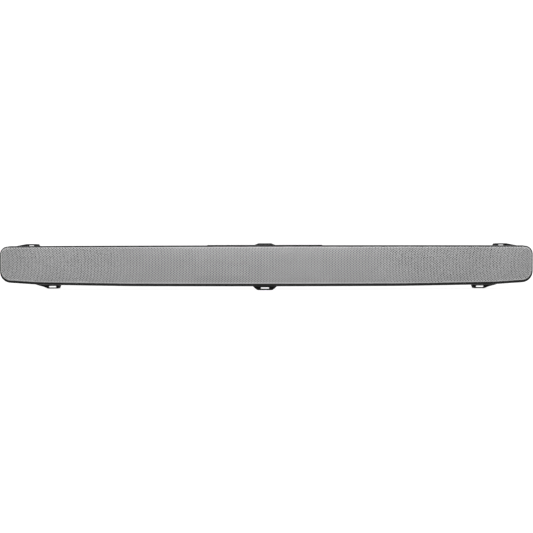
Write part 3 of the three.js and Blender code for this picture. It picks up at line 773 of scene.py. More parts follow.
def carve(target, *shapes):
    """Cuts shapes out of a piece, leaving a plain mesh."""
    for i, shape in enumerate(shapes):
        knife = cutter(f"knife_{i}", shape)
        modifier = target.modifiers.new("cut", "BOOLEAN")
        modifier.operation, modifier.object, modifier.solver = "DIFFERENCE", knife, "EXACT"
        bpy.context.view_layer.update()
        graph = bpy.context.evaluated_depsgraph_get()
        mesh = bpy.data.meshes.new_from_object(target.evaluated_get(graph))
        target.modifiers.clear()
        target.data = mesh
        bpy.data.objects.remove(knife)
    target.data.shade_smooth()
    target.data.set_sharp_from_angle(angle=math.radians(32))


housing = piece(
    "housing_shell", *loft(housing_rings(), closed=True), SATIN, "bar", "main_housing", "black_plastic", 32
)
PANEL_RECESS = plate(rounded_box(0, -21.65, 210.6, 39.9, 2.3, 6), [], 80.8, 90, "z")
BUTTON_WELL = plate(rounded_box(0, BUTTON_Y, 164, 18, 4, 6), [], 70, 90, "z")
carve(housing, PANEL_RECESS, BUTTON_WELL)


SCREW_WELLS = [(x, z) for x in (-470, -395, -150, 150, 395, 470) for z in (27, 65)]
WALL_PLATE_Z = 50


def at_back(inset_y):
    return [body_ring(i, y) for i, y in inset_y]


def cover_plate():
    """The flat middle of the cover's back, with holes for the bay, the ports, the keyholes and the screws."""
    ring = body_ring(8.4, 0)[:, [0, 2]]
    holes = [rounded_box(0, 45, 200, 38, 4, 6)]
    holes += [disc(x, MID_Z, 17.0, 64) for x in TWEETER_XS]
    holes += [rounded_box(x, WALL_PLATE_Z, 24, 30, 3, 5) for x in KEYHOLE_XS]
    holes += [disc(x, z, 4.2, 32) for x, z in SCREW_WELLS]
    return plate(ring, holes, 45.4, COVER_BACK_Y, "y", (0, 0.35))


cover_rim = [
    (1.5, 38.3), (1.28, 38.55), (1.2, 39.2), (1.25, 42), (1.6, 44), (2.4, 45.6), (3.7, 46.9), (5.6, 47.7),
    (8.4, 48), (8.4, 45.4), (6, 44.6), (4.8, 43), (4.4, 41), (4.2, 38.3),
]
piece("cover_rim", *loft(at_back(cover_rim), closed=True), SATIN, "bar", "rear_cover", "black_plastic", 30)
piece("cover_back", *cover_plate(), SATIN, "bar", "rear_cover", "black_plastic", 40)


def frame_ring(x, z, width, height, radius, y):
    loop = rounded_box(x, z, width, height, radius, 6)
    return np.stack([loop[:, 0], np.full(len(loop), y), loop[:, 1]], 1)


def tunnel(x, z, width, height, radius, near, far):
    """A rounded rectangular tube with an eased mouth at its far end."""
    wall = 1.6
    rings = [
        frame_ring(x, z, width - 2 * i, height - 2 * i, max(radius - i, 0.4), y)
        for i, y in (
            (0, near), (0, far - 0.1), (wall - 0.5, far - 0.1), (wall - 0.1, far - 0.6), (wall, near)
        )
    ]
    return loft(rings, closed=True)


piece(
    "bay_walls", *tunnel(0, 45, 199.6, 37.6, 3.8, 34.3, COVER_BACK_Y), SATIN, "bar", "rear_cover",
    "black_plastic", 40,
)


def cup(x, z, width, height, radius, floor, mouth):
    """A blind pocket that opens to the back."""
    wall = 1.5
    sizes = [(0.6, floor - wall), (0, floor - wall + 0.6), (0, mouth)]
    sizes += [(wall, mouth), (wall, floor + 0.5), (wall + 0.5, floor)]
    rings = [frame_ring(x, z, width - 2 * i, height - 2 * i, max(radius - i, 0.3), y) for i, y in sizes]
    return loft(rings, ends=whole)


for side, x in zip(("left", "right"), KEYHOLE_XS):
    piece(
        f"keyhole_pocket_{side}", *cup(x, WALL_PLATE_Z, 23.8, 29.8, 2.9, 39, 47.6), INNER, "bar",
        "rear_cover", "black_plastic", 40,
    )


def screw_head(x, z, y, radius):
    """A pan-head screw seen from the back, with a cross recess."""
    profile = [(0, y - 6), (1.4, y - 6), (1.4, y - 2.2), (radius, y - 2.2), (radius, y - 1.1)]
    profile += [(radius * 0.86, y - 0.4), (radius * 0.6, y - 0.08), (0, y)]
    return moved(lathe(profile, 28), x, 0, z)


def cross(x, z, r, w):
    """A cross recess's outline, r from its middle to an arm's end and w to an arm's side."""
    points = [(r, -w), (r, w), (w, w), (w, r), (-w, r), (-w, w)]
    points += [(-r, w), (-r, -w), (-w, -w), (-w, -r), (w, -r), (w, -w)]
    return np.array(points) + (x, z)


def add_screw(name, x, z, y, radius=3.2):
    made = piece(name, *screw_head(x, z, y, radius), STEEL, "bar", (), None, 35)
    carve(made, plate(cross(x, z, radius * 0.6, radius * 0.16), [], y - 1.1, y + 2, "y"))


well = [(0, 40.5), (4.15, 40.5), (4.15, 47.6), (3.7, 47.6), (3.5, 47.4), (3.5, 42.2), (0, 42.2)]
for i, (x, z) in enumerate(SCREW_WELLS):
    shape = moved(lathe(well, 32), x, 0, z)
    piece(f"screw_well_{i + 1}", *shape, INNER, "bar", (), "black_plastic", 40)
    add_screw(f"cover_screw_{i + 1}", x, z, 44.6)

# ---------------------------------------------------------------- controls

button_xs = [(i - 2) * BUTTON_PITCH for i in range(5)]
button_holes = [disc(x, BUTTON_Y, 6.0, 48) for x in button_xs]
strip = plate(rounded_box(0, -18.8, 210, 33.6, 2, 6), button_holes, 81.1, 82.9, "z", (0.2, 0.5), 3)
piece("control_strip", *strip, GLOSS, "bar", "control_panel", "gloss_black", 40)


def arc_band(x, y, radius, width, start, end):
    """A curved band, with angles in degrees."""
    angle = np.radians(np.linspace(start, end, 21))
    ring = np.stack([np.cos(angle), np.sin(angle)], 1)
    return np.concatenate([ring * (radius + width / 2), ring[::-1] * (radius - width / 2)]) + (x, y)


def bar_shape(x, y, width, height):
    return rounded_box(x, y, width, height, min(width, height) * 0.4, 3)


def icon_shapes(name, x, y):
    """Plain signs as outlines: each a (outline, holes)."""
    if name == "power":
        return [(arc_band(x, y, 2.2, 0.5, 125, 415), []), (bar_shape(x, y + 1.9, 0.5, 2.2), [])]
    if name == "source":
        frame_out, frame_in = rounded_box(x, y, 5.2, 4, 0.6), rounded_box(x, y, 4.2, 3, 0.3)
        return [(frame_out, [frame_in]), (np.array([(x - 0.8, y - 0.9), (x + 1, y), (x - 0.8, y + 0.9)]), [])]
    if name == "wireless":
        arcs = [(arc_band(x, y - 1.8, r, 0.5, 45, 135), []) for r in (1.5, 2.7, 3.9)]
        return arcs + [(disc(x, y - 1.8, 0.45, 16), [])]
    if name == "volume_down":
        return [(bar_shape(x, y, 4, 0.6), [])]
    upright = [(x - 0.3, y + 0.3), (x - 0.3, y + 2), (x + 0.3, y + 2), (x + 0.3, y + 0.3)]
    right = [(x + 2, y + 0.3), (x + 2, y - 0.3), (x + 0.3, y - 0.3), (x + 0.3, y - 2)]
    left = [(x - 0.3, y - 2), (x - 0.3, y - 0.3), (x - 2, y - 0.3), (x - 2, y + 0.3)]
    return [(np.array(upright + right + left), [])]


key_profile = [
    (0, 74.6), (1.4, 74.6), (1.6, 74.8), (1.6, 79.4), (6.9, 79.4), (7.1, 79.6), (7.1, 80.6), (6.9, 80.8),
    (5.5, 80.8), (5.5, 82.75), (5.44, 82.95), (5.3, 83.1), (5.05, 83.18), (4.6, 83.2), (0, 83.2),
]
for name, x in zip(BUTTONS, button_xs):
    key = moved(lathe(key_profile, 48, "z"), x, BUTTON_Y)
    piece(f"key_{name}", *key, GLOSS, f"{name}_key", f"button_{name}", "gloss_black", 30)
    signs = [plate(outline, holes, 83.15, 83.24, "z") for outline, holes in icon_shapes(name, x, BUTTON_Y)]
    piece(f"sign_{name}", *joined(*signs), ICON, f"{name}_key")

board_holes = [disc(x, BUTTON_Y + y, 1.5, 20) for x in (-84, 84) for y in (-5, 5)]
board = plate(rounded_box(0, BUTTON_Y, 176, 17, 1.5), board_holes, 69.4, 71, "z", (0.1, 0.1))
piece("control_board_sheet", *board, BOARD, "bar", "control_board", "circuit_board", 40)
bodies = [block((x - 3, x + 3), (BUTTON_Y - 3, BUTTON_Y + 3), (71, 73.1), 0.2) for x in button_xs]
piece("key_switch_bodies", *joined(*bodies), CHIP)
stud = [(0, 73), (1.7, 73), (1.7, 73.65), (1.55, 73.8), (0, 73.8)]
piece("key_switch_studs", *joined(*[moved(lathe(stud, 24, "z"), x, BUTTON_Y) for x in button_xs]), INNER)

# ---------------------------------------------------------------- display

DISPLAY_AT = (-75.75, 37.5)
SENSOR_AT = (-5.75, 59.8)

carrier = plate(
    rounded_box(-11, 48.8, 224, 48.4, 1.5), [rounded_box(*DISPLAY_AT, 87.5, 19, 1.2)],
    -38.4, -36.4, "y", (0.3, 0.1),
)
piece("display_carrier_plate", *carrier, CARRIER_FACE, "bar", "display_carrier", "gloss_black", 40)
lens = plate(rounded_box(*DISPLAY_AT, 93.5, 25, 1.2), [], -40.7, -38.7, "y", (0.35, 0.1), 3)
piece("display_lens", *lens, LENS, "bar", "display_window", "smoked_lens", 40)
seal = plate(rounded_box(-75.75, 25.65, 93.4, 1.8, 0.5), [], -41.1, -40.66, "y", (0.1, 0))
piece("lens_seal", *seal, RUBBER, "bar", (), "rubber")
eye = rounded_box(*SENSOR_AT, 45.5, 25.6, 1)
eye_rim = plate(eye, [rounded_box(*SENSOR_AT, 43.3, 23.4, 0.6)], -39.2, -38.35, "y", (0.2, 0))
# the rim's lighter grey is a painted highlight for the glints on the window's edges
piece("sensor_window_rim", *eye_rim, RIM_GLINT_GREY)
piece("sensor_window", *plate(rounded_box(*SENSOR_AT, 43, 23.1, 0.5), [], -38.9, -38.35, "y", (0.1, 0)), LENS)

board = plate(rounded_box(-76, 37.5, 86, 23, 1), [], -36.1, -34.6, "y", (0.1, 0.1))
piece("display_board_sheet", *board, BOARD, "bar", "display_board", "circuit_board", 40)


def segment(x, z, length, upright):
    half, w = length / 2, 0.6
    points = [(-half, 0), (-half + w, -w), (half - w, -w), (half, 0), (half - w, w), (-half + w, w)]
    return np.array([(x + b, z + a) if upright else (x + a, z + b) for a, b in points])


digit_blocks, segments = [], []
for start in (-115, -95, -75, -55):
    digit_blocks.append(block((start, start + 17), (-38.2, -36.1), (30, 45), 0.2, "y", 0.5))
    x, z = start + 8, 37.5
    strokes = [segment(x, z + dz, 6.4, False) for dz in (-5.4, 0, 5.4)]
    strokes += [segment(x + dx, z + dz, 4.6, True) for dx in (-3.6, 3.6) for dz in (-2.7, 2.7)]
    strokes.append(disc(x + 6, z - 5.4, 0.6, 12))
    segments += [plate(stroke, [], -38.26, -38.15, "y") for stroke in strokes]
piece("digit_blocks", *joined(*digit_blocks), DIGIT)
piece("digit_segments", *joined(*segments), SEGMENT)

# ---------------------------------------------------------------- cloth and baffle

CLOTH_INSET = 8.4
cloth_hole = rounded_box(-11, 48.65, 225.2, 49.3, 1.5, 4)
cloth = piece(
    "scrim",
    *loft([body_ring(CLOTH_INSET, -41.4, 1), body_ring(CLOTH_INSET, -40.7, 1)], ends=rungs),
    CLOTH, "bar", "acoustic_cloth", "cloth", 40,
)
carve(cloth, plate(cloth_hole, [], -50, -30, "y"))


def along_bow(x):
    """Length along the bowed front from the middle to x."""
    steps = np.linspace(0, 1, 60)[:, None] * np.asarray(x, float)
    return np.sum(np.hypot(np.diff(steps, axis=0), np.diff(bow(steps), axis=0)), 0) * np.sign(x)


flat_cut = body_ring(CLOTH_INSET, 0)[:, [0, 2]]
flat_cut = np.stack([along_bow(flat_cut[:, 0]), flat_cut[:, 1]], 1)


def racetrack(half, radius):
    """Two half circles joined by straights, each straight 2 x half long."""
    sides = 72
    angle = (np.arange(sides) + 0.5) * 2 * math.pi / sides
    x = radius * np.cos(angle)
    return np.stack([x + half * np.sign(x), radius * np.sin(angle)], 1)


def driver_at(x):
    """Where a driver's own frame goes: x, y, z and its turn about Z."""
    return x, BAFFLE_FRONT_Y + float(bow(x)), MID_Z, math.atan(2 * BOW * x / HALF_LENGTH**2)


baffle = piece(
    "baffle_board",
    *loft([body_ring(3.4, BAFFLE_FRONT_Y, 1), body_ring(3.4, BAFFLE_FRONT_Y + 4, 1)], ends=rungs),
    INNER, "bar", "front_baffle", "black_plastic", 40,
)
baffle_cuts = [plate(racetrack(23, 27.2) + (x, MID_Z), [], -60, 30, "y") for x in WOOFER_XS]
baffle_cuts += [plate(disc(x, MID_Z, 19.6, 64), [], -60, 30, "y") for x in TWEETER_XS]
carve(baffle, *baffle_cuts)

# ---------------------------------------------------------------- drivers


def race_loft(profile, ends=None):
    """A loft of racetracks, each given as (half straight, radius, y)."""
    rings = []
    for half, radius, y in profile:
        loop = racetrack(half, radius)
        rings.append(np.stack([loop[:, 0], np.full(len(loop), float(y)), loop[:, 1]], 1))
    return loft(rings, closed=ends is None, ends=ends)


WOOFER_HALF = 23  # half the straight of its racetrack
ROLL_EDGES = (27.2, 21.2)  # where the surround is glued to the basket and to the cone
BASKET = [
    (23, 30.7, -3.2), (23, 31, -2.9), (23, 31, -0.7), (23, 26.4, -0.7), (23, 26.4, 3), (20, 26, 5.4),
    (12, 24.2, 11.4), (8, 23, 14.4), (0, 12.6, 14.4), (0, 12.6, 13), (7, 21.4, 13), (11, 22.6, 10.4),
    (19, 24.2, 4.6), (23, 24.8, 2.4), (23, 24.8, -3.2),
]
CONE_PROFILE = [
    (0.5, 0.6, 0.9), (2.4, 1.8, 0.95), (4, 3.2, 1.2), (5.2, 5.6, 1.9), (6, 8, 3), (6.4, 9.8, 4.5),
    (6.5, 11, 6.4), (9, 12.6, 4.0), (13, 14.8, 1.2), (18, 17.2, -1.4), (21.5, 18.9, -3.1),
    (23, 19.7, -3.8), (23, 19.7, -3), (21.5, 18.6, -2.2), (18, 16.9, -0.4), (13, 14.6, 2.3),
    (9, 12.5, 5.2), (6.5, 11.4, 7.6), (0, 10.6, 9), (0, 10.6, 20), (0, 9.8, 20), (0, 9.8, 10),
]
ROLL = [
    (28.4, -4.2), (25.4, -4.2), (25.0, -5.0), (24.2, -5.8), (23.2, -6.2), (22.2, -6.2), (21.2, -5.8),
    (20.6, -5.0), (20.2, -4.2), (20.2, -3.5), (20.9, -4.3), (21.7, -5.1), (22.7, -5.4), (23.6, -5.0),
    (24.4, -4.2), (25.0, -3.5), (28.4, -3.5),
]
WOOFER_MAGNET = [
    (0, 14.7), (8.8, 14.7), (9.1, 15), (9.1, 23.5), (11.4, 23.5), (11.4, 14.7), (24, 14.7), (24.9, 15.1),
    (25.6, 15.8), (26, 16.7), (26, 20.4), (25.4, 20.6), (25.4, 25.6), (26, 25.8), (26, 29), (25.6, 30.2),
    (24.4, 31), (5, 31), (4.6, 30.4), (0, 30.4),
]


def roll_strip(points_at):
    """A closed strip of the surround through its section at each station."""
    return loft([np.array(points_at(t)) for t in np.linspace(0, 1, 7)], ends=whole)


def surround_strips():
    """The half roll in ten strips: each a shape and the outer and inner points that its bend runs between."""
    strips = []
    for side in (-1, 1):
        strip = roll_strip(lambda t: [(WOOFER_HALF * (2 * t - 1), y, side * r) for r, y in ROLL])
        near, far = ((0, -4, side * edge) for edge in ROLL_EDGES)
        strips.append((strip, near, far))
    for end in (-1, 1):
        for k in range(4):
            first = math.radians(45 * k - 90)

            def section(t, first=first, end=end):
                c, s = math.cos(first + t * math.pi / 4), math.sin(first + t * math.pi / 4)
                return [(end * (WOOFER_HALF + r * c), y, r * s) for r, y in ROLL]

            c, s = math.cos(first + math.pi / 8), math.sin(first + math.pi / 8)
            share = math.cos(math.pi / 8)
            near, far = (
                (end * (WOOFER_HALF + r * share * c), -4, r * share * s) for r in ROLL_EDGES
            )
            strips.append((roll_strip(section), near, far))
    return strips


def placed_point(point, place):
    """A point of a driver's own frame, placed on the bar and in metres."""
    return tuple(float(v) * MM for v in moved(([point], []), *place)[0][0])


for i, x in enumerate(WOOFER_XS, 1):
    place = driver_at(x)
    name, cone_body = f"woofer_{i}", f"woofer_{i}_diaphragm"
    piece(
        f"{name}_frame", *moved(race_loft(BASKET), *place), SATIN, "bar", f"{name}_basket", "black_plastic",
        35,
    )
    piece(
        f"{name}_paper", *moved(race_loft(CONE_PROFILE, whole), *place), CONE, cone_body, f"{name}_cone",
        "cone_paper", 40,
    )
    piece(
        f"{name}_motor", *moved(lathe(WOOFER_MAGNET, 64), *place), MAGNET, "bar", f"{name}_magnet",
        "magnet_steel", 35,
    )
    for k, (strip, near, far) in enumerate(surround_strips(), 1):
        made = piece(
            f"{name}_roll_{k}", *moved(strip, *place), RUBBER, None, f"{name}_surround", "rubber", 50
        )
        placed_point(near, place)
        placed_point(far, place)
        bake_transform(made)
    bolts = [(sx * 40, sz * 18.5) for sx in (-1, 1) for sz in (-1, 1)]
    bolt = [(0, -5.2), (0.9, -5.15), (1.5, -4.9), (1.8, -4.4), (1.8, -3.1), (0, -3.1)]
    heads = [moved(moved(lathe(bolt, 20), bx, 0, bz), *place) for bx, bz in bolts]
    piece(f"{name}_bolts", *joined(*heads), STEEL)

TWEETER_FRAME = [
    (13.6, -1), (14.2, -2.3), (15, -3.1), (15.8, -3.4), (23.1, -3.4), (23.6, -3.1), (24, -2.4),
    (24, -0.6), (18.6, -0.6), (18.6, 3), (13.6, 3), (13.6, -1),
]
DOME = [
    (0, -6.6), (2.6, -6.42), (5, -5.9), (7.4, -4.95), (9.4, -3.6), (11.4, -1.7), (12.6, -0.5), (13, 0.3),
    (13, 1.4), (12.2, 1.4), (12.2, 6), (11.5, 6), (11.5, 0), (10.2, -1.5), (8.6, -2.8), (6.4, -4.2),
    (4, -5.1), (0, -5.6),
]
TWEETER_MAGNET = [
    (0, 3.4), (10.8, 3.4), (10.8, 8), (13, 8), (13, 3.4), (15, 3.4), (16.4, 3.8), (17, 5.4), (17, 11),
    (16.4, 12.4), (15, 13), (0, 13),
]
for i, x in enumerate(TWEETER_XS, 1):
    place = driver_at(x)
    name = f"tweeter_{i}"
    piece(
        f"{name}_ring", *moved(lathe(TWEETER_FRAME, 64), *place), SATIN, "bar", f"{name}_frame",
        "black_plastic", 35,
    )
    piece(
        f"{name}_silk", *moved(lathe(DOME, 64), *place), SILK, f"{name}_diaphragm", f"{name}_dome",
        "cone_paper", 50,
    )
    piece(
        f"{name}_motor", *moved(lathe(TWEETER_MAGNET, 64), *place), MAGNET, "bar", f"{name}_magnet",
        "magnet_steel", 35,
    )

PORT = [
    (15.6, 8), (14.7, 9), (14.2, 10.4), (14, 12), (14, 41), (14.15, 43.6), (14.6, 46), (15.2, 47.6),
    (16, 48.8), (17.1, 49.6), (18.6, 50), (21.4, 50), (21.85, 49.8), (22, 49.4), (22, 48.05),
    (16.7, 48.05), (16.7, 8), (15.6, 8),
]
for side, x in zip(("left", "right"), TWEETER_XS):
    tube = moved(lathe(PORT, 72), x, 0, MID_Z)
    piece(f"reflex_port_{side}", *tube, SATIN, "bar", f"port_tube_{side}", "black_plastic", 40)

# ---------------------------------------------------------------- feet and lugs

FRONT_FOOT, REAR_FOOT = (-34, -22), (24, 36)
EASE = (0.5, 0.5)


def mirrored(points, side):
    return [(side * x, z) for x, z in points][::side]


middle = [(-13.3, 0), (13.3, 0), (18.1, 3.4), (22, 6.9), (-22, 6.9), (-18.1, 3.4)]
middle = softened(middle, [1.1, 1.1, 3, 0, 0, 3], 4)
foot = plate(middle, [rounded_box(0, 3.7, 15.2, 2.8, 1, 4)], *FRONT_FOOT, "y", EASE)
piece("foot_pad_middle", *foot, RUBBER, "bar", "foot_middle", "rubber", 35)
under = [float(belly(x)) for x in (444.5, 451, 425, 399.8)]
end_foot = [(402.8, 0), (422.3, 0), (430.6, 3.4), (444.5, under[0] - 2.8), (451, under[1] + 0.1)]
end_foot += [(425, under[2] + 0.1), (399.8, under[3] + 0.1)]
end_lug = [
    (441, 82.2), (449, 82.2), (449, 84.2), (463, 84.2), (463, 82.2), (486.5, 82.2), (463.5, 86.6),
    (443.5, 86.6),
]
for side, name in ((-1, "left"), (1, "right")):
    outline = softened(mirrored(end_foot, side), [1.1, 1.1, 3, 6, 0, 0, 0][::side], 4)
    slot_hole = rounded_box(side * 415.5, 3.4, 18, 3.2, 0.9, 4)
    foot = plate(outline, [slot_hole], *REAR_FOOT, "y", EASE)
    piece(f"foot_pad_{name}", *foot, RUBBER, "bar", f"foot_{name}", "rubber", 35)
    outline = softened(mirrored(end_lug, side), [0, 0, 0.8, 0.8, 0, 0, 6, 1.2][::side], 5)
    piece(
        f"lug_pad_{name}", *plate(outline, [], *REAR_FOOT, "y", EASE), RUBBER, "bar", f"lug_{name}",
        "rubber", 35,
    )
middle_lug = [(-18.9, 82.85), (18.9, 82.85), (15.4, 84.25), (11.6, 85.7), (-11.6, 85.7), (-15.4, 84.25)]
middle_lug = softened(middle_lug, [0, 0, 2.5, 1.6, 1.6, 2.5], 4)
piece(
    "lug_pad_middle", *plate(middle_lug, [], -34, -23.5, "y", EASE), RUBBER, "bar", "lug_middle", "rubber", 35
)

# ---------------------------------------------------------------- electronics


def boxes(*limits, ease=0.3, axis="y"):
    return joined(*[block(x, y, z, ease, axis) for x, y, z in limits])


def board_sheet(name, x, z, node):
    holes = [disc(hx, hz, 1.6, 20) for hx in (x[0] + 4, x[1] - 4) for hz in (z[0] + 4, z[1] - 4)]
    outline = rounded_box(sum(x) / 2, sum(z) / 2, x[1] - x[0], z[1] - z[0], 1.5)
    sheet = plate(outline, holes, 18, 19.6, "y", (0.1, 0.1))
    piece(name, *sheet, BOARD, "bar", node, "circuit_board", 40)


def can(x, z, radius, tall):
    """An upright capacitor's sleeve and its bare end."""
    front = 18 - tall
    sleeve = [
        (0, front + 0.3), (radius - 1, front + 0.3), (radius - 1, front), (radius, front + 0.4),
        (radius, 15.8),
    ]
    sleeve += [(radius - 0.35, 16.2), (radius - 0.35, 16.8), (radius, 17.2), (radius, 18), (0, 18)]
    return moved(lathe(sleeve, 32), x, 0, z)


board_sheet("main_board_sheet", (-96, 96), (18, 72), "main_board")
board_sheet("power_board_sheet", (104, 172), (18, 72), "power_board")
board_sheet("wireless_board_sheet", (-172, -104), (24, 64), "wireless_module")
chips = boxes(
    ((10, 34), (15.4, 18), (34, 58)), ((50, 62), (16, 18), (26, 38)), ((50, 60), (16.4, 18), (46, 56))
)
piece("main_chips", *chips, CHIP)
legs = []
for k in range(14):
    z = 35.2 + k * 1.66
    legs += [((8.6, 10.2), (17.3, 18), (z, z + 0.6)), ((33.8, 35.4), (17.3, 18), (z, z + 0.6))]
small = [((-88 + 9 * i, -86 + 9 * i), (17.2, 18), (z, z + 1.2)) for i in range(9) for z in (21, 66)]
small += [((40 + 6 * i, 42 + 6 * i), (17.2, 18), (z, z + 1.2)) for i in range(8) for z in (22, 42, 62)]
piece("chip_legs", *boxes(*legs, ease=0.1), NICKEL)
piece("small_parts", *boxes(*small, ease=0.15), DIGIT)
cans = [can(74, 58, 4, 12), can(88, 58, 4, 12), can(162, 30, 6, 16), can(162, 58, 6, 16)]
piece("capacitors", *joined(*cans), SLEEVE)
piece("film_capacitor", *boxes(((106, 114), (4, 18), (24, 40)), ease=0.6), TAPE)
piece("radio_shield", *boxes(((-150, -120), (14, 18), (34, 58)), ease=0.4), ZINC)
fins = [((x, x + 2.2), (3, 15), (26, 62)) for x in [-64 + i * 8.3 for i in range(7)]]
sink = boxes(((-64, -12), (14.4, 17.4), (26, 62)), *fins, ease=0.3)
piece("finned_heat_sink", *sink, ALUMINIUM, "bar", "heat_sink", "aluminium", 35)
core = boxes(((118, 150), (-2, 2), (28, 60)), ((118, 150), (2.3, 17.4), (28, 60)), ease=0.5)
piece("transformer_core", *core, MAGNET, "bar", "power_transformer", "transformer_core", 35)
piece("transformer_winding", *boxes(((121, 147), (-6, -1.8), (33, 55)), ease=1.6), TAPE)

# ---------------------------------------------------------------- connectors

PORTS = {"aux": -66, "data": -42, "optical": -17, "video_input": 8, "video_return": 34, "mains": 70}


def figure_eight(x, z, apart, radius):
    """Two overlapping circles as one outline."""
    meet = math.acos(apart / radius)
    right = np.linspace(meet - math.pi, math.pi - meet, 33)[:-1]
    left = np.linspace(meet, 2 * math.pi - meet, 33)[:-1]
    points = [(x + apart + radius * math.cos(a), z + radius * math.sin(a)) for a in right]
    points += [(x - apart + radius * math.cos(a), z + radius * math.sin(a)) for a in left]
    return np.array(points)


def video_outline(x, grow):
    w, h = 8.3 + grow, 3.5 + grow
    points = [
        (x - w + 2, PORT_Z - h), (x + w - 2, PORT_Z - h), (x + w, PORT_Z - h + 2.4), (x + w, PORT_Z + h),
        (x - w, PORT_Z + h), (x - w, PORT_Z - h + 2.4),
    ]
    return softened(points, 0.5, 3)


plate_holes = [
    disc(PORTS["aux"], PORT_Z, 4.5, 40), rounded_box(PORTS["data"], PORT_Z, 15, 8, 0.6),
    rounded_box(PORTS["optical"], PORT_Z, 13.6, 12.6, 0.6),
]
plate_holes += [video_outline(PORTS["video_input"], 0.3), video_outline(PORTS["video_return"], 0.3)]
plate_holes += [rounded_box(PORTS["mains"], PORT_Z, 24.6, 16.6, 1.6)]
back = plate(rounded_box(0, PORT_Z, 199.8, 37.8, 3.6), plate_holes, 31.7, 34, "y", (0, 0.25))
piece("connector_panel", *back, INNER, "bar", "connector_plate", "black_plastic", 40)
collars = [
    plate(drawn_in(h if area_of(h) < 0 else h[::-1], 1.1), [h], 33.9, 34.5, "y", (0, 0.2))
    for h in plate_holes
]
piece("socket_collars", *joined(*collars), SATIN)

x = PORTS["aux"]
nose = [(1.8, 29), (4.2, 29), (4.2, 35.1), (3.9, 35.4), (2.3, 35.4), (1.8, 34.9), (1.8, 29)]
jack = joined(
    plate(rounded_box(x, PORT_Z, 10, 10, 0.8), [disc(x, PORT_Z, 1.8, 32)], 19.9, 30.9, "y", (0.2, 0.2)),
    moved(lathe(nose, 40), x, 0, PORT_Z),
)
piece("audio_jack", *jack, SATIN, "bar", "aux_jack", "black_plastic", 35)
piece(
    "audio_jack_contact",
    *moved(lathe([(1.5, 22), (1.75, 22), (1.75, 30), (1.5, 30), (1.5, 22)], 24), x, 0, PORT_Z), GOLD,
)


def contacts(x, count, pitch, z):
    """A row of flat contacts, each half a pitch wide."""
    middles = [x + pitch * (i - (count - 1) / 2) for i in range(count)]
    return boxes(*[((mid - pitch / 4, mid + pitch / 4), (27, 33), z) for mid in middles], ease=0.04)


def tongued(name, outline, hole, node, tongue, strips):
    """A metal-shelled socket with a plastic tongue and its contacts."""
    shell = joined(
        plate(outline, [hole], 25, 35.4, "y", (0, 0.25)),
        plate(drawn_in(outline, 0.05), [], 19.9, 24.98, "y", (0.2, 0)),
    )
    piece(name, *shell, NICKEL, "bar", node, "zinc_steel", 35)
    piece(f"{name}_tongue", *boxes(tongue, ease=0.15), CHIP)
    piece(f"{name}_contacts", *strips, GOLD)


x = PORTS["data"]
tongued(
    "data_socket", rounded_box(x, PORT_Z, 14.4, 7.4, 0.6), rounded_box(x, PORT_Z, 12.8, 5.6, 0.4),
    "data_port",
    ((x - 5.5, x + 5.5), (24.9, 33.4), (PORT_Z + 0.2, PORT_Z + 1.8)),
    contacts(x, 4, 2.4, (PORT_Z + 0.05, PORT_Z + 0.3)),
)
for key in ("video_input", "video_return"):
    x = PORTS[key]
    tongued(
        f"{key}_socket", video_outline(x, 0), video_outline(x, -0.9), f"{key}_port",
        ((x - 5.5, x + 5.5), (24.9, 33.4), (PORT_Z - 0.6, PORT_Z + 0.6)),
        contacts(x, 9, 1.1, (PORT_Z + 0.5, PORT_Z + 0.7)),
    )
x = PORTS["optical"]
shell = joined(
    plate(
        rounded_box(x, PORT_Z, 13, 12, 0.8), [rounded_box(x, PORT_Z, 9.2, 9.2, 1.4)], 25, 35.4, "y", (0, 0.3)
    ),
    plate(rounded_box(x, PORT_Z, 12.9, 11.9, 0.8), [], 19.9, 24.98, "y", (0.2, 0)),
)
piece("light_socket", *shell, SATIN, "bar", "optical_port", "black_plastic", 35)
piece("light_pipe", *rod(x, PORT_Z, 1.6, 24.5, 31, 24), ICON)
x = PORTS["mains"]
inlet = joined(
    plate(rounded_box(x, PORT_Z, 24, 16, 1.5), [figure_eight(x, PORT_Z, 4.3, 5)], 24, 35.4, "y", (0, 0.4)),
    plate(rounded_box(x, PORT_Z, 23.9, 15.9, 1.5), [], 19.9, 23.98, "y", (0.2, 0)),
)
piece("mains_socket", *inlet, SATIN, "bar", "mains_inlet", "black_plastic", 35)
piece(
    "mains_pins", *joined(*[rod(x + side, PORT_Z, 1.2, 23.5, 33.4, 20, 0.4) for side in (-4.3, 4.3)]), NICKEL
)

# ---------------------------------------------------------------- wall plates

BRACKET_SCREWS = (-25, 25)


def keyhole(x):
    """A round hole with a narrow slot above it."""
    head, neck, top_z = 5.2, 2.6, 57
    meet = math.asin(neck / head)
    low = np.linspace(math.pi / 2 + meet, 5 * math.pi / 2 - meet, 41)
    top = np.linspace(0, math.pi, 17)
    points = [(x + head * math.cos(a), MID_Z + head * math.sin(a)) for a in low]
    points += [(x + neck * math.cos(a), top_z + neck * math.sin(a)) for a in top]
    return np.array(points)


for side, x in zip(("left", "right"), KEYHOLE_XS):
    holes = [keyhole(x)] + [disc(x + out, WALL_PLATE_Z, 2, 24) for out in BRACKET_SCREWS]
    wall = plate(rounded_box(x, WALL_PLATE_Z, 64, 38, 3), holes, 48.05, 50, "y", (0.1, 0.3))
    piece(f"wall_bracket_{side}", *wall, ZINC, "bar", f"wall_plate_{side}", "zinc_steel", 40)
    for k, out in enumerate(BRACKET_SCREWS, 1):
        add_screw(f"bracket_screw_{side}_{k}", x + out, WALL_PLATE_Z, 49.9, 1.95)

# ---------------------------------------------------------------- studio

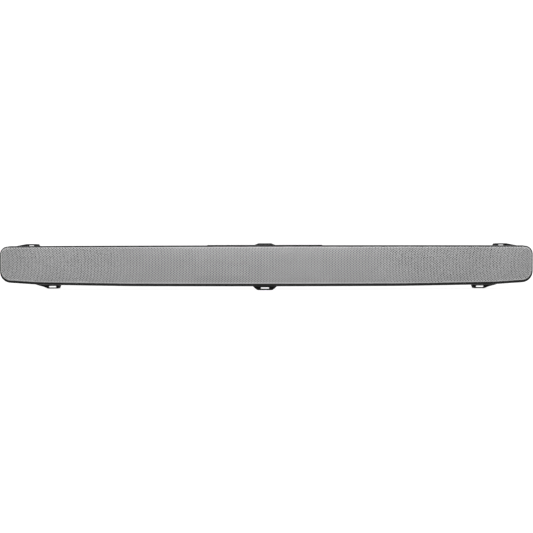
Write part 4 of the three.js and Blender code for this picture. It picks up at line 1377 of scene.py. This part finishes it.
CAMERA_AT = (12.4, -1000.0, 57.95)
CAMERA_TURN = (0.871, 0.556, -0.088)  # down, left and roll, in degrees
CAMERA_LENS = 35.77
FLOOR_SHADE = (0.12, 0.12, 0.12)
FLOOR_GLOW = 0.93
WORLD_FRONT = (0.26, 0.26, 0.26)
WORLD_RISE = (0.0, 0.5)  # from the dim front to full white, along +Y
WORLD_STRENGTH = 1.15


def add_camera():
    data = bpy.data.cameras.new("camera")
    data.lens, data.sensor_width, data.sensor_fit = CAMERA_LENS, 36, "AUTO"
    data.clip_start, data.clip_end = 0.01, 50
    made = linked("camera", data)
    made.location = Vector(CAMERA_AT) * MM
    down, left, roll = (math.radians(a) for a in CAMERA_TURN)
    aim = Euler((math.pi / 2 - down, 0, left), "XYZ").to_matrix()
    made.rotation_euler = (aim @ Euler((0, 0, roll), "XYZ").to_matrix()).to_euler()
    bpy.context.scene.camera = made


def add_light(name, at, aim, size, power):
    data = bpy.data.lights.new(name, "AREA")
    data.shape, data.size, data.size_y = "RECTANGLE", size[0], size[1]
    data.energy = power
    made = linked(name, data)
    made.location = at
    made.rotation_euler = (Vector(aim) - Vector(at)).to_track_quat("-Z", "Y").to_euler()


def add_floor():
    """A wide pale floor that glows a little, so that the bar's shadow on it stays faint."""
    steps = [-24, -8, -3, -1, 1, 3, 8, 24]
    verts = [(x, y, 0) for y in steps for x in steps]
    n = len(steps)
    faces = [
        (r * n + c, r * n + c + 1, (r + 1) * n + c + 1, (r + 1) * n + c)
        for r in range(n - 1)
        for c in range(n - 1)
    ]
    mesh = bpy.data.meshes.new("floor")
    mesh.from_pydata(verts, [], faces)
    made = linked("floor", mesh)
    paper = Nodes("floor_paper")
    paper.set(Base_Color=(*FLOOR_SHADE, 1), Roughness=0.9)
    paper.set(Emission_Color=(1, 1, 1, 1), Emission_Strength=FLOOR_GLOW)
    mesh.materials.append(paper.material)
    made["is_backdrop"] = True


def add_world():
    """White behind the bar and dimmer in front of it."""
    world = bpy.data.worlds.new("studio")
    world.use_nodes = True
    tree = world.node_tree
    where = tree.nodes.new("ShaderNodeTexCoord")
    split = tree.nodes.new("ShaderNodeSeparateXYZ")
    reach = tree.nodes.new("ShaderNodeMapRange")
    ramp = tree.nodes.new("ShaderNodeValToRGB")
    tree.links.new(where.outputs["Generated"], split.inputs[0])
    tree.links.new(split.outputs["Y"], reach.inputs["Value"])
    reach.inputs["From Min"].default_value, reach.inputs["From Max"].default_value = WORLD_RISE
    tree.links.new(reach.outputs["Result"], ramp.inputs["Fac"])
    tree.links.new(ramp.outputs["Color"], tree.nodes["Background"].inputs["Color"])
    ramp.color_ramp.elements[0].color = (*WORLD_FRONT, 1)
    ramp.color_ramp.elements[1].color = (1, 1, 1, 1)
    tree.nodes["Background"].inputs["Strength"].default_value = WORLD_STRENGTH
    bpy.context.scene.world = world


add_camera()
add_floor()
add_world()
add_light("key_softbox", (0.03, -1.5, 1.25), (0.02, 0, 0.05), (1.4, 0.4), 45)
add_light("near_softbox", (-0.2, -0.8, 0.5), (-0.16, 0, 0.05), (0.3, 0.2), 0.45)
add_light("top_softbox", (0, 0.2, 1.7), (0, 0, 0), (2.4, 0.8), 8)

scene = bpy.context.scene
scene.view_settings.view_transform = "Standard"
scene.view_settings.look = "None"

boxes = {"cad": cad_box, "visual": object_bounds()}
